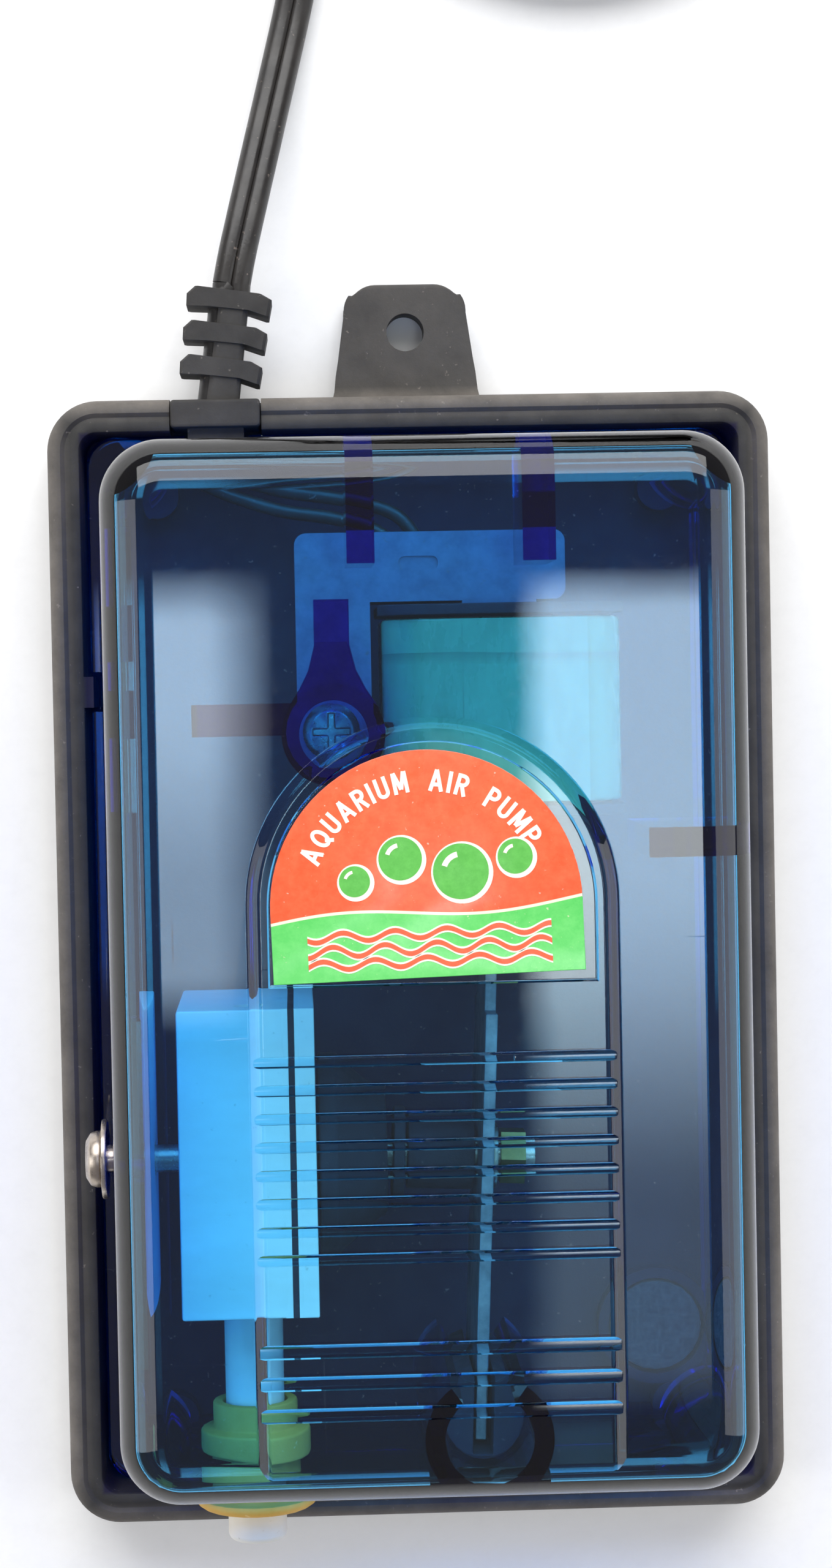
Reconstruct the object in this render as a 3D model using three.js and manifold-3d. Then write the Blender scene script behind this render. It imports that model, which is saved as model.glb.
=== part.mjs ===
// Electromagnetic diaphragm air pump with a clear cover on a rubber base tray.
// Millimetres, +Z up. The origin is the centre of the base's underside; +Y points to the hang tab and cord.
// A coil pulls the magnet of a swing arm to and fro; the arm works a rubber diaphragm on a valve chamber.

import * as THREE from "three";
import { mergeVertices } from "three/addons/utils/BufferGeometryUtils.js";
import Module from "manifold-3d";

const wasm = await Module();
wasm.setup();

// ---- driving dimensions -------------------------------------------------------------------------------------

const GAP = 0.3; // clearance between neighbouring pieces

const BASE = { halfX: 38.8, halfY: 60.5, corner: 5.4, height: 12, floor: 2, edge: 0.9 };
const RIM = { innerX: 35.2, innerY: 57.2, corner: 3.6, stepOut: 1.7, stepWide: 0.7, stepDeep: 0.7 };
const TAB = { rootHalf: 7.2, topHalf: 5.2, top: 73.1, holeY: 67.85, holeR: 2.05, low: 0.8, high: 4.8 };
const INLET = { x: 25.6, y: -41.7, hole: 2, felt: 5, ring: 6.4, ringTop: 4.6 };

// The cover's walls lean inwards; half sizes are at the height `draftFrom`.
const COVER = {
  low: 2.4, top: 48, wall: 1.6, innerFillet: 1.8,
  halfX: 33.9, rear: 56.1, front: 55.0, corner: 6, fillet: 5,
  draftFrom: 8, draftSide: 0.07, draftRear: 0.065, draftFront: 0.135,
};
const FOOT_FLANGE = { halfX: 34.9, halfY: 56.9, corner: 3.3, top: 6.5 };
const PANEL = { half: 18.1, archY: 8.5, deep: 0.7, front: -60 };
const LABEL = { half: 15.1, archY: 8.2, low: 1.3, offset: -0.55, thick: 0.3 };
const POCKET = { half: 15.85, low: 0.7, deep: 0.7 };
const GRIPS = { half: 17, high: 0.45, fineY: -6.6, finePitch: 2.74, fineCount: 8, fineWide: 0.9 };
const BROAD_GRIPS = { firstY: -34.7, pitch: 3.1, count: 3, wide: 1.3 };

const PIVOT = { x: 4.62, y: -43.9, low: 12, high: 36 }; // centre of the arm's rubber bush
const CLIP = { inner: 4.35, outer: 6.3, low: 12, mouthHalfAngle: 0.62 };
const ARM = { tilt: 0.0454, thick: 1.2, tail: -3.2, tip: 48.4, low: 12, high: 32 };
const AXIS = { y: -19.2, z: 22 }; // line of the diaphragm, its bolt and the chamber screw, along X
const BOLT_AT = 24.2; // distance of the diaphragm bolt from the pivot, along the arm

const CHAMBER = { x0: -25.5, x1: -14.6, y0: -34.2, y1: -2.8, z0: 11, z1: 33, wall: 1.5 };
const VALVE = { x0: -13.3, x1: -11.6, inletZ: 28, outletZ: 15.6, port: 1.4 };
const FLAP = { wide: 5.4, long: 4.6, thick: 0.4 };
const CUP = { x0: -11.3, x1: -4.3, rim: 10.6, crown: 6.2, wall: 1.1 };
const OUTLET = { x: -18.5, bore: 1.8, tubeR: 3.05, start: -34.5, tip: -59.4 };

const CORE = { z0: 15, z1: 28, barX0: -12.6, barX1: 15, barY0: 38, barY1: 45.1, legWide: 7.6 };
const POLE = { x: 8.2, tip: 13.6 };
const EAR = { x: -9.2, y: 24.9, r: 4.6 };
const COIL = { x0: -3.9, x1: 20.3, y0: 17.4, y1: 36.2, z0: 10, z1: 33.4, corner: 4.5 };
const MAGNET = { back: 49.6, face: 56.4, half: 5.6, low: 15.5, high: 28.5 };

const RELIEF = { x: -20.7, y: 58.8, z: 8, tilt: 0.14, barWide: 9.1, barLong: 2.2, pitch: 3.65, thick: 5.2 };
const CORD = { wide: 4.1, thick: 2.7 };
const COIL_OF_CORD = { x: 19.9, y: 137, innerTurn: 16.8, outerTurn: 29.1, top: 5.9 };
const PLUG = { x: 13.2, y: 148.9, z: 13.05, relief: 10, length: 24, half: 17, thick: 13.7 };
const PIN = { long: 18.7, r: 2, half: 9.2 };

// ---- solids -------------------------------------------------------------------------------------------------

/** A manifold solid from a closed three.js geometry. */
function solid(geometry) {
  const bare = geometry.index ? geometry.toNonIndexed() : geometry.clone();
  bare.deleteAttribute("normal");
  bare.deleteAttribute("uv");
  const merged = mergeVertices(bare, 1e-4);
  const data = {
    numProp: 3,
    vertProperties: new Float32Array(merged.attributes.position.array),
    triVerts: new Uint32Array(merged.index.array),
  };
  return new wasm.Manifold(new wasm.Mesh(data));
}

/** A three.js geometry from a manifold solid. */
function geometryOf(manifold) {
  const mesh = manifold.getMesh();
  const geometry = new THREE.BufferGeometry();
  geometry.setAttribute("position", new THREE.BufferAttribute(new Float32Array(mesh.vertProperties), 3));
  geometry.setIndex(new THREE.BufferAttribute(new Uint32Array(mesh.triVerts), 1));
  geometry.computeVertexNormals();
  return geometry;
}

const join = (first, ...others) =>
  geometryOf(others.reduce((sum, next) => sum.add(solid(next)), solid(first)));
const cut = (first, ...others) =>
  geometryOf(others.reduce((left, next) => left.subtract(solid(next)), solid(first)));
const overlap = (first, second) => geometryOf(solid(first).intersect(solid(second)));

/** A block between two corners. */
function block(x0, x1, y0, y1, z0, z1) {
  const box = new THREE.BoxGeometry(x1 - x0, y1 - y0, z1 - z0);
  return box.translate((x0 + x1) / 2, (y0 + y1) / 2, (z0 + z1) / 2);
}

/** A round bar on the Z axis line through (x, y). */
function barZ(x, y, radius, z0, z1, sides = 20) {
  const bar = new THREE.CylinderGeometry(radius, radius, z1 - z0, sides).rotateX(Math.PI / 2);
  return bar.translate(x, y, (z0 + z1) / 2);
}

/** A round bar parallel to X through (y, z), which may taper from r0 to r1. */
function barX(x0, x1, y, z, r0, r1 = r0, sides = 20) {
  const bar = new THREE.CylinderGeometry(r1, r0, x1 - x0, sides).rotateZ(-Math.PI / 2);
  return bar.translate((x0 + x1) / 2, y, z);
}

/** A round bar parallel to Y through (x, z). */
function barY(y0, y1, x, z, radius, sides = 20) {
  return new THREE.CylinderGeometry(radius, radius, y1 - y0, sides).translate(x, (y0 + y1) / 2, z);
}

/** A turned body from its half section, a closed ring of [radius, height] points; its axis is along +Y. */
function turned(section, sides = 28) {
  const points = [...section, section[0]].map(([r, h]) => new THREE.Vector2(r, h));
  return new THREE.LatheGeometry(points, sides);
}

/** A rectangle with round corners, centred on (0, (rear - front) / 2). */
function roundedPlate(halfX, rear, front, corner) {
  const shape = new THREE.Shape();
  shape.absarc(halfX - corner, rear - corner, corner, 0, Math.PI / 2);
  shape.absarc(corner - halfX, rear - corner, corner, Math.PI / 2, Math.PI);
  shape.absarc(corner - halfX, corner - front, corner, Math.PI, Math.PI * 1.5);
  shape.absarc(halfX - corner, corner - front, corner, Math.PI * 1.5, Math.PI * 2);
  shape.closePath();
  return shape;
}

/** An arch: straight sides from `low` up to `archY`, and a half circle on top. */
function archShape(half, archY, low, offset = 0) {
  const shape = new THREE.Shape();
  shape.moveTo(offset - half, low);
  shape.lineTo(offset + half, low);
  shape.absarc(offset, archY, half, 0, Math.PI);
  shape.closePath();
  return shape;
}

/** An upright prism from z0 to z1; `edge` rounds both ends inside the outline. */
function prism(shape, z0, z1, edge = 0, segments = 3, curveSegments = 7) {
  const options = { depth: z1 - z0 - 2 * edge, bevelEnabled: edge > 0, curveSegments };
  Object.assign(options, { bevelThickness: edge, bevelSize: edge });
  Object.assign(options, { bevelOffset: -edge, bevelSegments: segments });
  return new THREE.ExtrudeGeometry(shape, options).translate(0, 0, z0 + edge);
}

/** Leans the walls of a body inwards with height. */
function lean(geometry) {
  const p = geometry.attributes.position;
  for (let i = 0; i < p.count; i++) {
    const rise = p.getZ(i) - COVER.draftFrom;
    const draftY = p.getY(i) > 0 ? COVER.draftRear : COVER.draftFront;
    p.setX(i, p.getX(i) - Math.sign(p.getX(i)) * COVER.draftSide * rise);
    p.setY(i, p.getY(i) - Math.sign(p.getY(i)) * draftY * rise);
  }
  return geometry;
}

/** A tube along a smooth curve through the points, with an oval section. */
function tube(points, wide, thick, sides, steps) {
  const curve = new THREE.CatmullRomCurve3(points.map((p) => new THREE.Vector3(...p)));
  const section = new THREE.Shape();
  for (let i = 0; i < sides; i++) {
    const a = (2 * Math.PI * i) / sides;
    const at = [(Math.cos(a) * thick) / 2, (Math.sin(a) * wide) / 2];
    if (i === 0) section.moveTo(...at);
    else section.lineTo(...at);
  }
  section.closePath();
  return new THREE.ExtrudeGeometry(section, { steps, extrudePath: curve, bevelEnabled: false });
}

// ---- materials ----------------------------------------------------------------------------------------------

const finish = (color, roughness, metalness = 0, extra = {}) =>
  new THREE.MeshStandardMaterial({ color, roughness, metalness, ...extra });

const MATERIALS = {
  blackRubber: () => finish(0x2a2a2a, 0.85),
  clearBlue: () => finish(0x1450b8, 0.08, 0, { transparent: true, opacity: 0.45 }),
  print: () => finish(0xf2603a, 0.4),
  cordSkin: () => finish(0x1d1a19, 0.5),
  yellowRubber: () => finish(0xe0b020, 0.6),
  whitePlastic: () => finish(0xe8ead8, 0.45),
  coreSteel: () => finish(0x8c9096, 0.5, 0.8),
  springSteel: () => finish(0xb8bcc0, 0.35, 0.9),
  nickel: () => finish(0xc8c0b4, 0.3, 1),
  brass: () => finish(0xb8a060, 0.35, 1),
  tape: () => finish(0x68a27c, 0.5),
  ferrite: () => finish(0x3a3a3e, 0.7, 0.2),
  felt: () => finish(0xd8d4c8, 0.95),
};

const pump = new THREE.Group();
const arm = new THREE.Group();
arm.position.set(PIVOT.x, PIVOT.y, 0);
arm.rotation.z = -ARM.tilt;
pump.add(arm);

function add(name, geometry, material, parent = pump) {
  const mesh = new THREE.Mesh(geometry, MATERIALS[material]());
  mesh.name = name;
  parent.add(mesh);
}

// ---- casing -------------------------------------------------------------------------------------------------

/** The hang tab: a flat tongue that narrows to a rounded top. */
function tabShape() {
  const { rootHalf, topHalf, top } = TAB;
  const shape = new THREE.Shape();
  shape.moveTo(-rootHalf - 0.8, BASE.halfY - 1.5);
  shape.lineTo(rootHalf + 0.8, BASE.halfY - 1.5);
  shape.quadraticCurveTo(rootHalf, BASE.halfY + 0.8, rootHalf - 0.1, BASE.halfY + 3.5);
  shape.lineTo(topHalf + 0.9, top - 3.2);
  shape.quadraticCurveTo(topHalf + 0.3, top - 0.2, topHalf - 2.4, top);
  shape.lineTo(2.4 - topHalf, top);
  shape.quadraticCurveTo(-topHalf - 0.3, top - 0.2, -topHalf - 0.9, top - 3.2);
  shape.lineTo(0.1 - rootHalf, BASE.halfY + 3.5);
  shape.quadraticCurveTo(-rootHalf, BASE.halfY + 0.8, -rootHalf - 0.8, BASE.halfY - 1.5);
  return shape;
}

function rubberBase() {
  const { halfX, halfY, corner, height, floor, edge } = BASE;
  const outer = prism(roundedPlate(halfX, halfY, halfY, corner), 0, height, edge, 3, 8);
  const opening = roundedPlate(RIM.innerX, RIM.innerY, RIM.innerY, RIM.corner);
  const tray = prism(opening, floor, height + 1, 0, 1, 6);
  const inset = (d) => roundedPlate(halfX - d, halfY - d, halfY - d, Math.max(corner - d, 1));
  const step = cut(
    prism(inset(RIM.stepOut), height - RIM.stepDeep, height + 1),
    prism(inset(RIM.stepOut + RIM.stepWide), height - 2, height + 2),
  );
  const notch = block(RELIEF.x - 5.15, RELIEF.x + 5.15, RIM.innerY - 1, halfY + 1, 4, height + 1);
  const underside = cut(
    prism(inset(6), -1, 0.6),
    barZ(0, 0, 9, -2, 1, 24),
  );
  const cushions = [-1, 1].flatMap((s) => [50.4, -50.2].map((y) => barZ(s * 27.4, y, 2.4, 1.5, 5, 16)));
  const key = block(-RIM.innerX - 0.5, -RIM.innerX + 0.9, 27.7, 31, 1.5, height - 0.3);
  const ring = cut(
    barZ(INLET.x, INLET.y, INLET.ring, 1.5, INLET.ringTop, 24),
    barZ(INLET.x, INLET.y, INLET.felt + GAP, floor, 6, 24),
  );
  const tab = prism(tabShape(), TAB.low, TAB.high, 0.5, 2, 5);
  const hollow = cut(outer, tray, step, notch, underside);
  const whole = join(hollow, key, ring, tab, ...cushions);
  const tabHole = barZ(0, TAB.holeY, TAB.holeR, -1, 6, 24);
  return cut(whole, tabHole, barZ(INLET.x, INLET.y, INLET.hole, -1, 3, 16));
}

/** The cover's solid block, shrunk on every side by `inset`. */
function coverBlock(inset, low, fillet) {
  const c = COVER;
  const plate = roundedPlate(c.halfX - inset, c.rear - inset, c.front - inset, c.corner - inset);
  return lean(prism(plate, low, c.top - inset, fillet, 4, 6));
}

/** The C-shaped clip for the arm's bush, open towards +Y, on two legs that reach the front wall. */
function armClip() {
  const { x, y } = PIVOT;
  const a = CLIP.mouthHalfAngle;
  const shape = new THREE.Shape();
  shape.absarc(x, y, CLIP.outer, Math.PI / 2 + a, Math.PI * 2.5 - a);
  shape.absarc(x, y, CLIP.inner, Math.PI * 2.5 - a, Math.PI / 2 + a, true);
  shape.closePath();
  const hoop = prism(shape, CLIP.low, COVER.top + 1, 0, 1, 12);
  const legAt = (s) => block(x + s * 4.9 - 1, x + s * 4.9 + 1, y - 14, y - 3.9, CLIP.low, COVER.top + 1);
  const legs = [-1, 1].map(legAt);
  return join(hoop, ...legs);
}

/** Everything moulded inside the cover: corner posts, ribs, bolt boss, wall blocks and the arm clip. */
function coverInside() {
  const roof = COVER.top + 1;
  const posts = [-1, 1].flatMap((s) => [
    barZ(s * 31.2, 53.6, 5.6, 5.6, roof, 20),
    barZ(s * 31.2, -51.6, 5.6, 5.6, roof, 20),
  ]);
  return [
    ...posts,
    block(-7.6, -4.9, 41.3, 58, 33, roof),
    block(9.4, 12.6, 41.3, 58, 33, roof),
    barZ(EAR.x, EAR.y, 5, CORE.z1 + GAP, roof, 24),
    block(EAR.x - 1.7, EAR.x + 1.7, EAR.y + 3, EAR.y + 13, 34, roof),
    block(EAR.x - 13.6, EAR.x - 3, EAR.y, EAR.y + 3.1, 34, roof),
    block(-36, -27.5, -37.5, -3, 10, 40),
    block(-36, -27.6, 37.8, 45.4, 24, 42),
    block(-36, -27.6, 29.5, 32.3, 24, 42),
    block(-36, -27.6, 17.6, 24.8, 24, 42),
    block(21.1, 36, 12.4, 15.3, 26, roof),
    armClip(),
  ];
}

function gripRidges() {
  const bottom = COVER.top - PANEL.deep - 0.2;
  const top = bottom + 0.2 + GRIPS.high;
  const ridge = (y, wide) => block(-GRIPS.half, GRIPS.half, y - wide / 2, y + wide / 2, bottom, top);
  const fineAt = (_, i) => ridge(GRIPS.fineY - i * GRIPS.finePitch, GRIPS.fineWide);
  const fine = Array.from({ length: GRIPS.fineCount }, fineAt);
  const broad = Array.from({ length: BROAD_GRIPS.count }, (_, i) =>
    ridge(BROAD_GRIPS.firstY - i * BROAD_GRIPS.pitch, BROAD_GRIPS.wide),
  );
  return [...fine, ...broad];
}

function clearCover() {
  const below = -20;
  const hull = coverBlock(0, below, COVER.fillet);
  const hollow = coverBlock(COVER.wall, below - 5, COVER.innerFillet);
  const flange = prism(
    roundedPlate(FOOT_FLANGE.halfX, FOOT_FLANGE.halfY, FOOT_FLANGE.halfY, FOOT_FLANGE.corner),
    COVER.low, FOOT_FLANGE.top,
  );
  const shell = cut(join(overlap(hull, block(-50, 50, -70, 70, COVER.low, 60)), flange), hollow);
  const fittings = overlap(join(...coverInside()), coverBlock(COVER.wall / 2, below, COVER.fillet - 1));
  const panelShape = archShape(PANEL.half, PANEL.archY, PANEL.front);
  const panel = prism(panelShape, COVER.top - PANEL.deep, COVER.top + 5, 0, 1, 24);
  const pocket = prism(
    archShape(POCKET.half, LABEL.archY, POCKET.low),
    COVER.top - PANEL.deep - POCKET.deep, COVER.top + 1, 0, 1, 24,
  );
  const openings = [
    barZ(EAR.x, EAR.y, 3.3, 0, 45.6, 20), // bolt-head well in the boss
    barX(-40, -20, AXIS.y, AXIS.z, 1.8), // chamber screw
    barY(-60, -45, OUTLET.x, AXIS.z, 4.9, 24), // nozzle grommet
    block(RELIEF.x - 3.5, RELIEF.x + 3.5, 50, 60, 0, 11.5), // neck of the strain relief
    block(-40, -33.6, 27.2, 31.5, 0, 7), // key of the base
  ];
  const body = join(shell, fittings);
  return cut(join(cut(body, panel), ...gripRidges()), pocket, ...openings);
}

add("rubber_base", rubberBase(), "blackRubber");
add("clear_cover", clearCover(), "clearBlue");

const labelZ = COVER.top - PANEL.deep - POCKET.deep + GAP;
const labelShape = archShape(LABEL.half, LABEL.archY, LABEL.low, LABEL.offset);
add("label", prism(labelShape, labelZ, labelZ + LABEL.thick, 0, 1, 20), "print");

const feltBottom = BASE.floor + GAP;
add("inlet_felt", barZ(INLET.x, INLET.y, INLET.felt, feltBottom, INLET.ringTop - 0.2, 20), "felt");

// ---- outlet -------------------------------------------------------------------------------------------------

function outletTube() {
  const { start, tip, tubeR, bore } = OUTLET;
  const long = start - tip;
  const section = [[bore, 0], [tubeR - 0.4, 0], [tubeR, 0.5], [tubeR, long], [bore, long]];
  return turned(section, 24).translate(OUTLET.x, tip, AXIS.z);
}

/** The yellow grommet: a long inner collar, a groove that holds the wall, and an outer flange. */
function nozzleGrommet() {
  const hole = OUTLET.tubeR + GAP;
  const section = [
    [hole, 0], [5.6, 0], [6.3, 0.5], [6.3, 1.2], [4.6, 1.3], [4.6, 6], [5.7, 6.1], [5.7, 8.4], [4.4, 8.6],
    [4.4, 11.3], [hole, 11.3],
  ];
  return turned(section, 24).translate(OUTLET.x, -55.9, AXIS.z);
}

add("air_outlet_tube", outletTube(), "whitePlastic");
add("nozzle_grommet", nozzleGrommet(), "yellowRubber");

// ---- valve chamber ------------------------------------------------------------------------------------------

const OUTLET_ROOM_TOP = 25.6;
const INLET_ROOM_LOW = 26.8;

/** The chamber's two rooms, outlet below and inlet above, between two X positions. */
function rooms(x0, x1) {
  const { y0, y1, z0, z1, wall } = CHAMBER;
  return [
    block(x0, x1, y0 + wall, y1 - wall, z0 + wall, OUTLET_ROOM_TOP),
    block(x0, x1, y0 + wall, y1 - wall, INLET_ROOM_LOW, z1 - wall),
  ];
}

function chamberBody() {
  const { x0, x1, y0, y1, z0, z1, wall } = CHAMBER;
  return cut(
    block(x0, x1, y0, y1, z0, z1),
    ...rooms(x0 + 3.5, x1 + 1),
    barY(y0 - 1, y0 + wall + 0.1, OUTLET.x, AXIS.z, OUTLET.bore, 16),
    barY(y1 - wall - 0.1, y1 + 1, OUTLET.x, 29, 1.3, 14),
    barX(x0 - 1, x0 + 3, AXIS.y, AXIS.z, 1.8, 1.8, 16),
  );
}

function chamberGasket() {
  const { y0, y1, z0, z1 } = CHAMBER;
  return cut(block(-14.3, -13.6, y0, y1, z0, z1), ...rooms(-15, -13));
}

function valvePlate() {
  const { x0, x1, inletZ, outletZ, port } = VALVE;
  const ports = [inletZ, outletZ].map((z) => barX(x0 - 1, x1 + 1, AXIS.y, z, port, port, 14));
  return cut(block(x0, x1, CHAMBER.y0, CHAMBER.y1, CHAMBER.z0, CHAMBER.z1), ...ports);
}

/** A rubber flap valve with round free end, on a vertical face; `up` is +1 if the free end points up. */
function flap(x0, x1, hingeZ, up) {
  const half = FLAP.wide / 2;
  const shape = new THREE.Shape();
  shape.moveTo(-half, 0);
  shape.lineTo(half, 0);
  shape.lineTo(half, FLAP.long - half);
  shape.absarc(0, FLAP.long - half, half, 0, Math.PI);
  shape.closePath();
  const flat = prism(shape, 0, x1 - x0, 0, 1, 10);
  const upright = flat.rotateX(Math.PI / 2).rotateZ(Math.PI / 2);
  if (up < 0) upright.rotateX(Math.PI);
  return upright.translate(x0, AXIS.y, hingeZ);
}

add("chamber_body", chamberBody(), "whitePlastic");
add("chamber_gasket", chamberGasket(), "blackRubber");
add("valve_plate", valvePlate(), "whitePlastic");
add("inlet_flap", flap(VALVE.x1 + 0.15, VALVE.x1 + 0.15 + FLAP.thick, 30, -1), "blackRubber");
add("outlet_flap", flap(VALVE.x0 - 0.15 - FLAP.thick, VALVE.x0 - 0.15, 13.4, 1), "blackRubber");

/** Pan-head screw along X with its head at the low end and a cross slot in it. */
function panScrew(headX, headR, headLong, shaftR, shaftEnd, y, z) {
  const head = [[0, 0], [headR - 1, 0], [headR - 0.2, 0.5], [headR, 1.1], [headR, headLong], [0, headLong]];
  const dome = turned(head, 24).rotateZ(-Math.PI / 2).translate(headX, y, z);
  const shaft = barX(headX + headLong - 0.1, shaftEnd, y, z, shaftR, shaftR, 16);
  const slots = [0, 1].map((k) => {
    const [wide, tall] = k ? [headR * 1.1, 0.7] : [0.7, headR * 1.1];
    return block(headX - 1, headX + 0.9, y - wide / 2, y + wide / 2, z - tall / 2, z + tall / 2);
  });
  return cut(join(dome, shaft), ...slots);
}

const WALL_FACE = -COVER.halfX + COVER.draftSide * (AXIS.z - COVER.draftFrom);
const WASHER = { x0: WALL_FACE - 0.9, x1: WALL_FACE - 0.35, outer: 4.15, inner: 1.8 };
const HEAD = { r: 2.95, long: 1.6 };
add("chamber_washer", cut(
  barX(WASHER.x0, WASHER.x1, AXIS.y, AXIS.z, WASHER.outer, WASHER.outer, 28),
  barX(WASHER.x0 - 1, WASHER.x1 + 1, AXIS.y, AXIS.z, WASHER.inner, WASHER.inner, 16),
), "nickel");
const chamberHead = WASHER.x0 - 0.1 - HEAD.long;
add("chamber_screw", panScrew(chamberHead, HEAD.r, HEAD.long, 1.45, -23, AXIS.y, AXIS.z), "nickel");

// ---- diaphragm ----------------------------------------------------------------------------------------------

/** The rubber cup: a rim on the valve plate, a cone wall and a flat crown with a bolt hole. */
function diaphragmCup() {
  const { x0, x1, rim, crown, wall } = CUP;
  const long = x1 - x0;
  const section = [
    [rim - 1.7, 0], [rim, 0], [rim, 1.8], [rim - 0.9, 2.6], [crown + 1.2, long - 1.6], [crown, long],
    [1.9, long], [1.9, long - wall], [crown - 0.4, long - wall], [rim - 1.9, 2],
  ];
  return turned(section, 32).rotateZ(-Math.PI / 2).translate(x0, AXIS.y, AXIS.z);
}

add("diaphragm_cup", diaphragmCup(), "blackRubber");

/** A round plate on the arm's bolt, from x0 to x1 in the arm's frame. */
function boltPlate(x0, x1, radius, hole = 1.8, sides = 24) {
  return cut(
    barX(x0, x1, BOLT_AT, AXIS.z, radius, radius, sides),
    barX(x0 - 1, x1 + 1, BOLT_AT, AXIS.z, hole, hole, 16),
  );
}

const half = ARM.thick / 2;
add("diaphragm_inner_plate", boltPlate(-13.3, -12.0, 4.6), "whitePlastic", arm);
add("diaphragm_outer_plate", boltPlate(-9.4, -8.2, 5), "blackRubber", arm);
add("arm_spacer", boltPlate(-7.9, -half - GAP, 3.6), "blackRubber", arm);
add("nut_washer", boltPlate(half + GAP, half + 0.9, 3.4), "nickel", arm);
add("diaphragm_nut", boltPlate(half + 1.2, half + 3.8, 3.1, 1.8, 6), "brass", arm);
add("diaphragm_bolt", join(
  barX(-15.2, -13.6, BOLT_AT, AXIS.z, 2.7, 2.7, 6),
  barX(-13.7, half + 4.9, BOLT_AT, AXIS.z, 1.5, 1.5, 16),
), "nickel", arm);

// ---- swing arm ----------------------------------------------------------------------------------------------

function swingArm() {
  const strip = block(-half, half, ARM.tail, ARM.tip, ARM.low, ARM.high);
  const relief = [-1, 1].map((s) => block(-2, 2, 40, 50, s > 0 ? 29 : 10, s > 0 ? 34 : 15));
  return cut(strip, barX(-2, 2, BOLT_AT, AXIS.z, 1.8, 1.8, 16), ...relief);
}

/** The bush: a rubber cylinder with a slot for the arm's tail. */
function pivotBush() {
  const bush = barZ(PIVOT.x, PIVOT.y, CLIP.inner - GAP, PIVOT.low, PIVOT.high, 24);
  const slot = block(-half - 0.4, half + 0.4, ARM.tail - 0.4, 10, ARM.low - 0.4, PIVOT.high + 1);
  slot.rotateZ(-ARM.tilt).translate(PIVOT.x, PIVOT.y, 0);
  return cut(bush, slot);
}

/** The holder: a block with a pocket for the magnet and a slot for the arm's tip. */
function magnetHolder() {
  const { back, face, half: wide, low, high } = MAGNET;
  return cut(
    block(-wide - 1.5, wide + 1.5, back - 4.4, face - 0.8, low - 1.6, high + 1.6),
    block(-wide - GAP, wide + GAP, back - GAP, face + 1, low - GAP, high + GAP),
    block(-half - GAP, half + GAP, back - 6, ARM.tip + GAP, low - 0.8, high + 0.8),
  );
}

add("swing_arm", swingArm(), "springSteel", arm);
add("pivot_bush", pivotBush(), "blackRubber");
add("magnet_holder", magnetHolder(), "whitePlastic", arm);
add("magnet", prism(
  roundedPlate(MAGNET.half, MAGNET.face, -MAGNET.back, 0.8), MAGNET.low, MAGNET.high, 0.4, 2, 3,
), "ferrite", arm);

// ---- electromagnet ------------------------------------------------------------------------------------------

/** The laminated U core: a cross bar, a leg that ends in a round ear, and the pole leg through the coil. */
function laminatedCore() {
  const { z0, z1, barX0, barX1, barY0, barY1, legWide } = CORE;
  const bar = prism(roundedPlate((barX1 - barX0) / 2, barY1, -barY0, 1.2), z0, z1, 0, 1, 4);
  bar.translate((barX0 + barX1) / 2, 0, 0);
  const earLeg = block(barX0, barX0 + legWide, EAR.y, barY0 + 1, z0, z1);
  const ear = barZ(EAR.x, EAR.y, EAR.r, z0, z1, 24);
  const poleLeg = block(POLE.x - legWide / 2, POLE.x + legWide / 2, POLE.tip, barY0 + 1, z0, z1);
  const dimpleAt = (z) => prism(roundedPlate(2, 42.6, -41.2, 0.6), z, z + 1.3, 0, 1, 4);
  const dimples = [z0 - 1, z1 - 0.3].map(dimpleAt);
  return cut(join(bar, earLeg, ear, poleLeg), barZ(EAR.x, EAR.y, 1.9, z0 - 1, z1 + 1, 16), ...dimples);
}

/** A ring about the pole leg, with a rounded outline, between two Y positions. */
function coilRing(y0, y1, grow, hole) {
  const { x0, x1, z0, z1, corner } = COIL;
  const midX = (x0 + x1) / 2;
  const midZ = (z0 + z1) / 2;
  const outline = roundedPlate((x1 - x0) / 2 + grow, (z1 - z0) / 2 + grow, (z1 - z0) / 2 + grow, corner);
  const body = prism(outline, 0, y1 - y0, 0, 1, 5).rotateX(-Math.PI / 2).translate(midX, y0, midZ);
  const halfHole = CORE.legWide / 2 + hole;
  const bore = block(POLE.x - halfHole, POLE.x + halfHole, y0 - 1, y1 + 1, CORE.z0 - hole, CORE.z1 + hole);
  return cut(body, bore);
}

function coilBobbin() {
  const { y0, y1 } = COIL;
  const halfHole = CORE.legWide / 2 + GAP;
  const halfSpool = halfHole + 1.2;
  const spool = cut(
    block(POLE.x - halfSpool, POLE.x + halfSpool, y0 - 1.4, y1 + 1.4, CORE.z0 - 1.5, CORE.z1 + 1.5),
    block(POLE.x - halfHole, POLE.x + halfHole, 0, 60, CORE.z0 - GAP, CORE.z1 + GAP),
  );
  return join(spool, coilRing(y0 - 1.4, y0 - GAP, 0.4, 1), coilRing(y1 + GAP, y1 + 1.4, 0.4, 1));
}

add("laminated_core", laminatedCore(), "coreSteel");
add("coil_bobbin", coilBobbin(), "blackRubber");
add("coil_winding", coilRing(COIL.y0, COIL.y1, 0, 1.8 + 0.1), "tape");

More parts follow.
